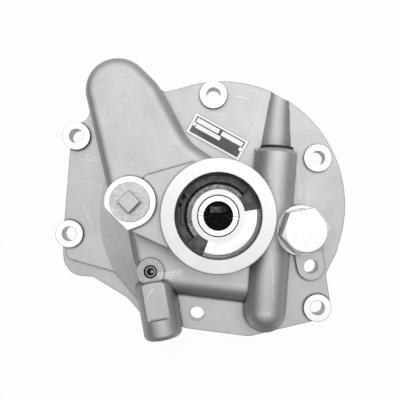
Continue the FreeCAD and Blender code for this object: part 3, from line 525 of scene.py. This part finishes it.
# %% The blasted skin
def cast_skin(start):
    """Colour and height of the uncut skin."""
    tree = start.tree
    grain = use_group(tree, skin_grain, Position=start.position, Size=0.0007, Pores=0.35)
    speck = noise(tree, start.position, 1300.0)
    tone = blend_colour(tree, spread(tree, grain["Tone"], 0.32, 0.68), grey(0.54), grey(0.635))
    tone = stain(tree, tone, spread(tree, speck, 0.62, 0.72), 0.3, grey(0.9))
    tone = stain(tree, tone, spread(tree, speck, 0.36, 0.28), 0.35, grey(0.2))
    # Painted shade: darker flanks, darker steep sides (less on the port boss), faces turned towards -y, the
    # shadow below the land's step and closed corners.
    tone = stain(tree, tone, start.flank, 0.16, grey(0.25))
    port = zone(start, PORT_AT, -1, PORT_REACH, FLANGE_TOP, 40)
    tone = stain(tree, tone, start.steep, blend_value(tree, port, 0.52, 0.05), grey(0.06))
    tone = stain(tree, tone, start.under, 0.6, grey(0.1))
    tone = stain(tree, tone, body_shade(start), 0.75, grey(0.12))
    tone = stain(tree, tone, start.corner, corner_shade_strength(start), grey(0.05))
    tone = stain(tree, tone, grain["Pore"], 0.6, grey(0.25))
    # Painted shade: a dark outline along the flange's rounded edges. Then rubbed edges: wear with a painted
    # highlight.
    flange_outline_shade = calc(tree, "MULTIPLY", start.dark_outline, below(start, FLANGE_TOP + 0.1))
    tone = stain(tree, tone, flange_outline_shade, 0.9, grey(0.04))
    tone = stain(tree, tone, start.rub, 0.75, grey(0.95))
    return tone, grain["Height"]


# %% The faces that a cutter made
def cut_faces(start):
    """Masks of the turned faces, of the milled spot faces, of the web and of bores."""
    tree = start.tree
    turned = [
        zone(start, (0, 0), PILOT_R - 0.1, RING_R - 0.4, RING_TOP - FACE_GAP, RING_TOP + FACE_GAP),
        zone(start, (0, 0), 0, HUB_R + 0.1, PILOT_FLOOR - 0.06, PILOT_FLOOR + FACE_GAP),
        zone(start, (0, 0), 0, WIDE, -1, FACE_GAP),
    ]
    milled = [(spot, BOLT_SPOT_R, SPOT_TOP) for spot in SPOT_FACES]
    milled += [(PLUG_AT, PLUG_SPOT_R, PLUG_SPOT_TOP), (RELIEF_AT, RELIEF_SPOT_R, RELIEF_FACE)]
    spots = [zone(start, centre, 0, reach, top - FACE_GAP, top + FACE_GAP)
             for centre, reach, top in milled]
    web = zone(start, (0, 0), HUB_R, GROOVE_R + 0.6, PILOT_FLOOR - 0.06, PILOT_FLOOR + FACE_GAP, *WEB)
    bores = [zone(start, hole, 0, HOLE_R + 0.12, FACE_GAP, 20) for hole in SPOT_FACES + PLAIN_HOLES]
    return joined(tree, turned), joined(tree, spots), web, joined(tree, bores)


# %% The recess round the hub, oily and darkened with painted shade
def recess_tone(start, tone):
    """Tone with the recess: pads and channel dark with oil and painted shade, the hub's skirt flecked, the
    groove speckled with painted shade in its corners, the bore's wall painted dark as shade.
    """
    tree = start.tree
    speck = noise(tree, start.position, 1000.0)
    cloud = noise(tree, start.position, 190.0)
    low = zone(start, (0, 0), HUB_R - 0.2, PILOT_R - 0.1, 10, PILOT_FLOOR + 0.06)
    wall = zone(start, (0, 0), PILOT_R - 0.1, PILOT_R + 0.1, 10, RING_TOP - 0.3)
    web = zone(start, (0, 0), 0, PILOT_R - 0.1, 10, RING_TOP, *WEB)
    groove = zone(start, (0, 0), GROOVE_R - 0.05, PILOT_R - 0.1, 10, PILOT_FLOOR - 0.2, *WEB)
    near = zone(start, (0, 0), 0, SKIRT_R, 10, PILOT_FLOOR - 0.07)
    shallow = zone(start, (0, 0), 0, PILOT_R, 10, PILOT_FLOOR, *PADS_AND_WEB)
    skirt = calc(tree, "MULTIPLY", near, calc(tree, "SUBTRACT", 1.0, shallow))
    oil_and_shade = calc(tree, "MULTIPLY", low, calc(tree, "SUBTRACT", 1.0, web))
    dark = blend_colour(tree, spread(tree, cloud, 0.35, 0.65), grey(0.09), grey(0.17))
    dusty = blend_colour(tree, spread(tree, cloud, 0.35, 0.6), (0.14, 0.137, 0.13, 1.0),
                         (0.32, 0.313, 0.3, 1.0))
    flecked = blend_colour(tree, spread(tree, speck, 0.56, 0.66), dusty, (0.75, 0.74, 0.71, 1.0))
    grooved = blend_colour(tree, spread(tree, speck, 0.42, 0.62), grey(0.45), grey(0.85))
    tone = blend_colour(tree, oil_and_shade, tone, blend_colour(tree, skirt, dark, flecked))
    tone = blend_colour(tree, groove, tone, stain(tree, grooved, start.corner, 0.7, grey(0.06)))
    # Painted shade: the pilot bore's wall is painted dark.
    return blend_colour(tree, wall, tone, grey(0.09))


# %% Cast aluminium
def cast_aluminium():
    """The housing's material, from the skin to the marks on it."""
    start = Start("cast_aluminium", 1.0, 0.9, 2.3)
    tree, position = start.tree, start.position
    skin, skin_height = cast_skin(start)
    turned, spots, web, bores = cut_faces(start)
    cloud = noise(tree, position, 70.0)
    tone = blend_colour(tree, spots, skin, blend_colour(tree, cloud, grey(0.9), grey(0.98)))
    tone = blend_colour(tree, bores, tone, blend_colour(tree, cloud, grey(0.78), grey(0.92)))
    even = blend_colour(tree, spread(tree, cloud, 0.35, 0.65), grey(0.7), grey(0.74))
    tone = blend_colour(tree, turned, tone, even)
    tone = recess_tone(start, tone)

    speck = noise(tree, position, 1100.0)
    spot = zone(start, GRUB_AT, 0, GRUB_SPOT_R, GRUB_SPOT_TOP - 0.2, GRUB_SPOT_TOP + 0.2)
    tone = stain(tree, tone, calc(tree, "MULTIPLY", spot, spread(tree, speck, 0.45, 0.6)), 0.6, grey(0.22))
    light, dark = scratch_and_highlight_marks(start)
    tone = stain(tree, tone, light, 1.0, grey(0.97))
    tone = stain(tree, tone, dark, 1.0, grey(0.04))

    cut = joined(tree, [turned, spots, web])
    marks = use_group(tree, turning_marks, Position=position, Pitch=0.00035)
    swirl = spread(tree, marks["Arc"], 0.32, 0.58)
    tone = blend_colour(tree, web, tone, blend_colour(tree, swirl, grey(0.78), grey(0.98)))
    nick = use_group(tree, handling_nicks, Position=position, Spacing=0.017, Heading=0.5)["Nick"]
    outside = zone(start, (0, 0), RING_R, WIDE, -1, 80)
    nicked = calc(tree, "MULTIPLY", nick, calc(tree, "MULTIPLY", outside, calc(tree, "SUBTRACT", 1.0, cut)))
    tone = stain(tree, tone, nicked, 0.55, grey(0.88))
    rough = blend_value(tree, cut, 0.5, 0.36)
    height = blend_value(tree, cut, skin_height, calc(tree, "MULTIPLY", marks["Height"], 0.2))
    return start.finish(tone, rough, height, 0.05)


# %% [markdown]
# ## Steel, iron, bronze and rubber
#
# The small parts share two recipes. Turned parts show rings round their axis. Moulded or sintered parts
# show grain. Each call gives its own colour, polish and scale.

# %% Turned metal
def turned_metal(name, low_tone, high_tone, roughness, centre=(0, 0), pitch=0.0003, depth_mm=0.01,
                 painted_shade=0.5, satin=0.0):
    """Material with rings round an axis, with painted shade on its flanks and in its corners. Satin dulls
    its flanks.
    """
    start = Start(name, 1.0, 0.25, 1.5)
    tree, position = start.tree, start.position
    marks = use_group(tree, turning_marks, Position=position, Pitch=pitch,
                      Centre=(centre[0] * MM, centre[1] * MM, 0.0))
    nick = use_group(tree, handling_nicks, Position=position, Spacing=0.009, Heading=1.1)["Nick"]
    tone = blend_colour(tree, spread(tree, marks["Arc"], 0.3, 0.7), low_tone, high_tone)
    # Painted shade on flanks and in corners, nicks of wear, and rubbed edges with a painted highlight.
    tone = stain(tree, tone, start.flank, painted_shade * 0.5, grey(0.2))
    tone = stain(tree, tone, start.corner, painted_shade, grey(0.05))
    tone = stain(tree, tone, nick, 0.35, grey(0.97))
    tone = stain(tree, tone, start.rub, 0.5, grey(0.95))
    rough = spread(tree, marks["Height"], 0.2, 0.8, roughness * 0.85, roughness * 1.15)
    rough = blend_value(tree, calc(tree, "MULTIPLY", start.flank, satin), rough, 0.85)
    return start.finish(tone, rough, marks["Height"], depth_mm)


# %% Grained metal or rubber
def grained(name, low_tone, high_tone, metallic, roughness, size, depth_mm):
    """Material with a moulded, sintered or blackened skin."""
    start = Start(name, metallic, 0.25, 1.5)
    tree = start.tree
    grain = use_group(tree, skin_grain, Position=start.position, Size=size, Pores=0.4)
    tone = blend_colour(tree, spread(tree, grain["Tone"], 0.35, 0.65), low_tone, high_tone)
    # Painted shade in corners.
    tone = stain(tree, tone, start.corner, 0.5, grey(0.04))
    rough = spread(tree, grain["Tone"], 0.3, 0.7, roughness * 0.9, roughness * 1.1)
    return start.finish(tone, rough, grain["Height"], depth_mm)


# %% [markdown]
# ## The drive shaft's two tones
#
# The head of the shaft is ground bright, and its bore is painted black as shade. Both are one solid, so a
# zone separates them. The same trick blackens the rubber lip of the sealing washer, which is bonded inside a
# bright steel ring.

# %% Ground shaft with a bore painted black as shade
HEAD_TOP = 32.78
HEAD_BORE_R = 10.8
GLINT_BAND = (HEAD_TOP - 2.1, HEAD_TOP - 1.5)


def ground_shaft():
    """The shaft's material: bright outside, its front bore painted black as shade, with one painted glint on
    the bore's wall.
    """
    start = Start("ground_shaft", 1.0, 0.25, 1.0)
    tree, position = start.tree, start.position
    marks = use_group(tree, turning_marks, Position=position, Pitch=0.0002)
    bore = zone(start, (0, 0), -1, HEAD_BORE_R + 0.05, 20, HEAD_TOP - 0.2)
    glint = zone(start, (0, 0), -1, HEAD_BORE_R + 0.05, *GLINT_BAND, 40, 150)
    bright = blend_colour(tree, spread(tree, marks["Arc"], 0.3, 0.7), grey(0.9), grey(0.98))
    # Painted shade in corners and on flanks.
    bright = stain(tree, bright, start.corner, 0.85, grey(0.04))
    bright = stain(tree, bright, start.flank, 0.5, grey(0.06))
    # Painted shade: the front bore is black. Painted highlight: a faint glint on the bore's wall.
    tone = blend_colour(tree, bore, bright, grey(0.006))
    tone = blend_colour(tree, glint, tone, grey(0.3))
    return start.finish(tone, blend_value(tree, bore, 0.32, 0.15), marks["Height"], 0.006)


# %% Black insert with a painted highlight on its tongue
TONGUE_TOP = 29.78


def black_insert_painted_light():
    """The insert's material: black, with a painted highlight on the tongue's top that is brighter at its
    left.
    """
    start = Start("black_insert_painted_light", 1.0, 0.5, 1.0)
    tree, position = start.tree, start.position
    top = zone(start, (0, 0), -1, HEAD_BORE_R, TONGUE_TOP - 0.3, TONGUE_TOP + 0.1)
    cloud = noise(tree, position, 420.0)
    # Painted highlight: the tongue's top, lighter at the left and fading to the right.
    worn = spread(tree, start.x, -6 * MM, 4 * MM, 0.12, 0.02)
    worn = calc(tree, "MULTIPLY", worn, spread(tree, cloud, 0.35, 0.65, 0.5, 1.2))
    smear = calc(tree, "MULTIPLY", spread(tree, cloud, 0.56, 0.7), 0.012)
    level = calc(tree, "MAXIMUM", calc(tree, "MULTIPLY", top, worn), calc(tree, "ADD", smear, 0.005))
    tone = add(tree, "ShaderNodeCombineXYZ", X=level, Y=level, Z=level).outputs[0]
    return start.finish(tone, 0.18, cloud, 0.01)


# %% Sealing washer with its bonded lip
WASHER_LIP = (15.9, 16.2)


def sealing_washer():
    """The washer's material: bright steel with a black lip and a painted dark outline along its edges."""
    start = Start("sealing_washer", 1.0, 0.2, 1.0)
    tree, position = start.tree, start.position
    lip = zone(start, RELIEF_AT, *WASHER_LIP, 20, 50)
    marks = use_group(tree, turning_marks, Position=position, Pitch=0.0002,
                      Centre=(RELIEF_AT[0] * MM, RELIEF_AT[1] * MM, 0.0))
    bright = blend_colour(tree, spread(tree, marks["Height"], 0.35, 0.65), grey(0.82), grey(0.97))
    # Painted shade: a dark outline along the washer's rounded edges.
    bright = stain(tree, bright, start.dark_outline, 0.25, grey(0.05))
    tone = blend_colour(tree, lip, bright, grey(0.05))
    return start.finish(tone, 0.35, marks["Height"], 0.01)


# %% Dull plug with a soft square
PLUG_HEAD_R = 9.5
PLUG_DISC_THICK = 2.5


def dull_plug():
    """The plug's material: blotched plating, with painted shadow in the corners on the lower side of its
    square.
    """
    start = Start("dull_plug", 1.0, 0.9, 2.2)
    tree, position = start.tree, start.position
    grain = use_group(tree, skin_grain, Position=position, Size=0.0008, Pores=0.8)
    blotch = noise(tree, position, 520.0, 3.0)
    blotched = spread(tree, blotch, 0.35, 0.65)
    head = zone(start, PLUG_AT, -1, PLUG_HEAD_R, PLUG_SPOT_TOP + PLUG_DISC_THICK, 60)
    # Painted shadow: strongest below the plug's centre, on the side away from the light.
    lower = spread(tree, start.y, (PLUG_AT[1] + 1.5) * MM, (PLUG_AT[1] - 1.5) * MM, 0.1, 0.55)
    tone = blend_colour(tree, blotched, grey(0.54), grey(0.7))
    tone = blend_colour(tree, head, tone, blend_colour(tree, blotched, grey(0.58), grey(0.66)))
    tone = stain(tree, tone, grain["Pore"], 0.5, grey(0.2))
    tone = stain(tree, tone, spread(tree, blotch, 0.64, 0.7), 0.6, grey(0.85))
    tone = stain(tree, tone, calc(tree, "MULTIPLY", start.corner, lower), 1.0, grey(0.06))
    return start.finish(tone, 0.5, calc(tree, "ADD", grain["Height"], blotch), 0.08)


# %% Grub screw with its painted highlight ring
GRUB_RING = (3.0, 3.6)


def grub_steel():
    """The grub screw's material: black, with a painted highlight ring and a painted glint in its socket."""
    start = Start("grub_steel", 1.0, 0.3, 1.0)
    tree, position = start.tree, start.position
    shine = zone(start, GRUB_AT, *GRUB_RING, 20, 30)
    glint = zone(start, (GRUB_AT[0] + 0.6, GRUB_AT[1] - 0.4), -1, 0.9, 10, GRUB_SPOT_TOP - 2)
    grain = use_group(tree, skin_grain, Position=position, Size=0.0004, Pores=0.2)
    tone = blend_colour(tree, spread(tree, grain["Tone"], 0.35, 0.65), grey(0.015), grey(0.05))
    # Painted highlight: the bright ring and the glint in the socket.
    tone = blend_colour(tree, joined(tree, [shine, glint]), tone, grey(0.4))
    return start.finish(tone, 0.3, grain["Height"], 0.02)


# %% [markdown]
# ## The plate
#
# A thin aluminium plate with a printed dark field. Its boxes are left empty. The field and the boxes
# are rectangles in the plate's own directions, so the position is turned by the plate's angle first.

# %% Printed plate
PLATE_AT = (-0.5, 60.6)
PLATE_TURN = math.radians(-29.0)
PLATE_HALF = (22.5, 8.2)
PLATE_BORDER = 1.5
PLATE_LIGHT_BOXES = [(-10.3, 3.95, 9.7, 1.8), (-7.9, -0.4, 10.6, 1.6), (10.8, 3.95, 9.2, 1.8)]


def rectangle(tree, along, across, centre_u, centre_v, half_u, half_v):
    """Mask of a rectangle in the plate's directions, in millimetres."""
    u = calc(tree, "ABSOLUTE", calc(tree, "SUBTRACT", along, centre_u * MM))
    v = calc(tree, "ABSOLUTE", calc(tree, "SUBTRACT", across, centre_v * MM))
    return calc(tree, "MULTIPLY", calc(tree, "LESS_THAN", u, half_u * MM),
                calc(tree, "LESS_THAN", v, half_v * MM))


def printed_plate():
    """The plate's material: a bare border, a dark field and light boxes."""
    start = Start("printed_plate", 0.4, 0.15, 1.0)
    tree, position = start.tree, start.position
    away = calc_vector(tree, "SUBTRACT", position, (PLATE_AT[0] * MM, PLATE_AT[1] * MM, 0.0))
    turn = add(tree, "ShaderNodeVectorRotate", {"rotation_type": "Z_AXIS"}, Vector=away, Angle=-PLATE_TURN)
    along, across = add(tree, "ShaderNodeSeparateXYZ", Vector=turn.outputs[0]).outputs[:2]
    field = rectangle(tree, along, across, 0, 0, PLATE_HALF[0] - PLATE_BORDER, PLATE_HALF[1] - PLATE_BORDER)
    boxes = joined(tree, [rectangle(tree, along, across, *box) for box in PLATE_LIGHT_BOXES])
    grain = use_group(tree, skin_grain, Position=position, Size=0.0004, Pores=0.2)
    worn = spread(tree, grain["Tone"], 0.35, 0.65)
    dark = blend_colour(tree, worn, grey(0.06), grey(0.13))
    light = blend_colour(tree, worn, grey(0.8), grey(0.94))
    # Painted shade in the light boxes' corners.
    light = stain(tree, light, start.corner, 0.4, grey(0.2))
    printed = calc(tree, "MULTIPLY", field, calc(tree, "SUBTRACT", 1.0, boxes))
    return start.finish(blend_colour(tree, printed, light, dark), 0.4, grain["Height"], 0.006)


# %% [markdown]
# ## Hand out the finishes
#
# The table says which solid takes which material. Every solid gets one, also those that only show when
# the pump is opened.

# %% Assign materials
cast = cast_aluminium()
cover_steel = turned_metal("cover_steel", grey(0.5), grey(0.6), 0.35)
zinc = turned_metal("bright_zinc", grey(0.8), grey(0.88), 0.38, RELIEF_AT, 0.0004, 0.006, 0.15, 1.0)
plain_steel = turned_metal("plain_steel", grey(0.45), grey(0.56), 0.35)
ground_steel = turned_metal("ground_steel", grey(0.66), grey(0.76), 0.2, pitch=0.0002, depth_mm=0.004)
bronze = turned_metal("bronze", (0.62, 0.42, 0.2, 1), (0.75, 0.54, 0.3, 1), 0.35)
black_steel = grained("black_steel", grey(0.012), grey(0.03), 0.6, 0.25, 0.0006, 0.01)
sintered = grained("sintered_iron", grey(0.16), grey(0.26), 1.0, 0.5, 0.0003, 0.02)
rubber = grained("seal_rubber", grey(0.015), grey(0.03), 0.0, 0.6, 0.0004, 0.02)
plate = printed_plate()
rivet_finish = turned_metal("rivet_aluminium", grey(0.8), grey(0.92), 0.3)

finishes = {
    "housing": cast, "rear_cover": cover_steel, "cover_seal_ring": rubber, "cover_screws": black_steel,
    "cover_dowels": ground_steel, "suction_seal_ring": rubber, "inner_rotor": sintered,
    "outer_rotor": sintered, "drive_shaft": ground_shaft(), "drive_tongue": black_insert_painted_light(),
    "rotor_key": plain_steel, "front_bush": bronze, "rear_bush": bronze, "control_spool": ground_steel,
    "spool_spring": plain_steel, "bore_end_plug": plain_steel, "end_plug_seal": rubber,
    "end_plug_clip": black_steel, "valve_mouth_cap": rubber, "relief_cap": zinc,
    "relief_washer": sealing_washer(), "relief_seat": plain_steel,
    "relief_poppet": ground_steel, "relief_spring": plain_steel, "relief_shims": plain_steel,
    "gallery_plug": dull_plug(), "orifice_screw": grub_steel(), "data_plate": plate,
    "plate_rivets": rivet_finish,
}
for name, finish in finishes.items():
    slots = nodes[name].data.materials
    slots.clear()
    slots.append(finish)
print("finishes:", len(set(finishes.values())), "on", len(finishes), "solids")

# %% [markdown]
# ## Springs that give way
#
# A rigid coil would be run through by the piece that pushes it. Each spring gets a stand-in with the same
# mesh, hung on the housing group, and the CAD spring is hidden.

# %% Stand-ins for the two springs
def pressed_spring(node):
    """A copy of a CAD spring, hung on the housing group, with the CAD spring hidden."""
    coil = bpy.data.objects.new(node + "_coil", nodes[node].data.copy())
    bpy.context.scene.collection.objects.link(coil)
    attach(coil, "housing_group")
    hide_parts(node)
    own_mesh(coil)


pressed_spring("spool_spring")
pressed_spring("relief_spring")

# %% [markdown]
# ## Floor, light and camera
#
# A product table: a pale floor that reads as white to the lens. The sky is the main lamp, bright in a
# wide patch overhead that leans to the top of the picture, with a faint glow at the right and near dark
# low down. Flat faces shine in it, and flanks fall off to grey. A small soft box adds the shadows.

# %% Floor
FLOOR_HALF = 3.0
SEEN_SHARE = 0.96
MIRRORED_SHARE = 0.2


def make_floor():
    """Floor just under the mounting face, white to the lens and grey in reflections."""
    mesh = bpy.data.meshes.new("floor")
    corners = [(x * FLOOR_HALF, y * FLOOR_HALF, 0) for x, y in [(-1, -1), (1, -1), (1, 1), (-1, 1)]]
    mesh.from_pydata(corners, [], [(0, 1, 2, 3)])
    floor = bpy.data.objects.new("floor", mesh)
    floor.location.z = -0.2 * MM
    bpy.context.scene.collection.objects.link(floor)
    material = bpy.data.materials.new("pale_floor")
    material.use_nodes = True
    tree = material.node_tree
    shader = tree.nodes["Principled BSDF"]
    shader.inputs["Base Color"].default_value = grey(0.7)
    shader.inputs["Roughness"].default_value = 0.8
    glow = add(tree, "ShaderNodeEmission", Color=grey(1.0), Strength=1.0)
    rays = add(tree, "ShaderNodeLightPath").outputs
    mirrored = calc(tree, "MAXIMUM", rays["Is Glossy Ray"], rays["Is Transmission Ray"])
    seen = calc(tree, "MAXIMUM", calc(tree, "MULTIPLY", rays["Is Camera Ray"], SEEN_SHARE),
                calc(tree, "MULTIPLY", mirrored, MIRRORED_SHARE))
    mix = tree.nodes.new("ShaderNodeMixShader")
    feed(tree, mix.inputs[0], seen)
    feed(tree, mix.inputs[1], shader.outputs[0])
    feed(tree, mix.inputs[2], glow.outputs[0])
    feed(tree, tree.nodes["Material Output"].inputs["Surface"], mix.outputs[0])
    mesh.materials.append(material)
    print("floor:", 2 * FLOOR_HALF, "m wide")


make_floor()

# %% Light
SKY_AXIS = (0.02, 0.42, 1.0)
SKY_EDGE = math.radians(70)
SKY_CORE = math.radians(22)
SKY_LOW = 0.09
SKY_HIGH = 1.26
SIDE_AXIS = (1.0, 0.1, 0.25)
SIDE_EDGE = math.radians(62)
SIDE_CORE = math.radians(15)
SIDE_GLOW = 0.12


def sky_patch(tree, axis, edge, core, low, high):
    """Brightness that rises smoothly from an edge angle to a core angle round an axis."""
    direction = add(tree, "ShaderNodeTexCoord").outputs["Generated"]
    facing = calc_vector(tree, "DOT_PRODUCT", direction, tuple(Vector(axis).normalized()))
    rise = add(tree, "ShaderNodeMapRange", {"interpolation_type": "SMOOTHSTEP"}, Value=facing)
    for socket, number in zip(list(rise.inputs)[1:5], (math.cos(edge), math.cos(core), low, high)):
        socket.default_value = number
    return rise.outputs[0]


def make_world():
    """Sky with a patch overhead and a glow at the side, plain white to the lens."""
    world = bpy.data.worlds.new("studio")
    bpy.context.scene.world = world
    world.use_nodes = True
    tree = world.node_tree
    overhead = sky_patch(tree, SKY_AXIS, SKY_EDGE, SKY_CORE, SKY_LOW, SKY_HIGH)
    beside = sky_patch(tree, SIDE_AXIS, SIDE_EDGE, SIDE_CORE, 0.0, SIDE_GLOW)
    seen = add(tree, "ShaderNodeLightPath").outputs["Is Camera Ray"]
    sky = tree.nodes["Background"]
    feed(tree, sky.inputs["Color"], grey(1.0))
    feed(tree, sky.inputs["Strength"], blend_value(tree, seen, calc(tree, "ADD", overhead, beside), 1.0))


def soft_box(name, place, size, power):
    """Square lamp that looks at the part."""
    lamp = bpy.data.lights.new(name, "AREA")
    lamp.size = size
    lamp.energy = power
    box = bpy.data.objects.new(name, lamp)
    box.location = place
    box.rotation_mode = "QUATERNION"
    box.rotation_quaternion = (Vector((0, 0, 0)) - Vector(place)).to_track_quat("-Z", "Y")
    bpy.context.scene.collection.objects.link(box)
    print("light:", name, "of", size, "m and", power, "W under a sky of strength", SKY_HIGH)


make_world()
soft_box("soft_box", (0.1, 0.25, 0.8), 0.45, 0.4)

# %% Camera
CAMERA_HEIGHT = 0.4
FOCAL_PIXELS = 507.8
FRAME_PIXELS = 400
CENTRE_PIXEL = (212, 212)
EYE_AT = (-4.57, 2.88)
camera = bpy.data.cameras.new("camera")
camera.sensor_width = 36.0
camera.lens = FOCAL_PIXELS / FRAME_PIXELS * camera.sensor_width
camera.shift_x = (FRAME_PIXELS / 2 - CENTRE_PIXEL[0]) / FRAME_PIXELS
camera.shift_y = (CENTRE_PIXEL[1] - FRAME_PIXELS / 2) / FRAME_PIXELS
camera.clip_start = 0.01
eye = bpy.data.objects.new("camera", camera)
eye.location = (EYE_AT[0] * MM, EYE_AT[1] * MM, CAMERA_HEIGHT)
bpy.context.scene.collection.objects.link(eye)
bpy.context.scene.camera = eye
bpy.context.scene.view_settings.view_transform = "Standard"
print("camera:", round(camera.lens, 1), "mm lens,", CAMERA_HEIGHT, "m above the mounting face")
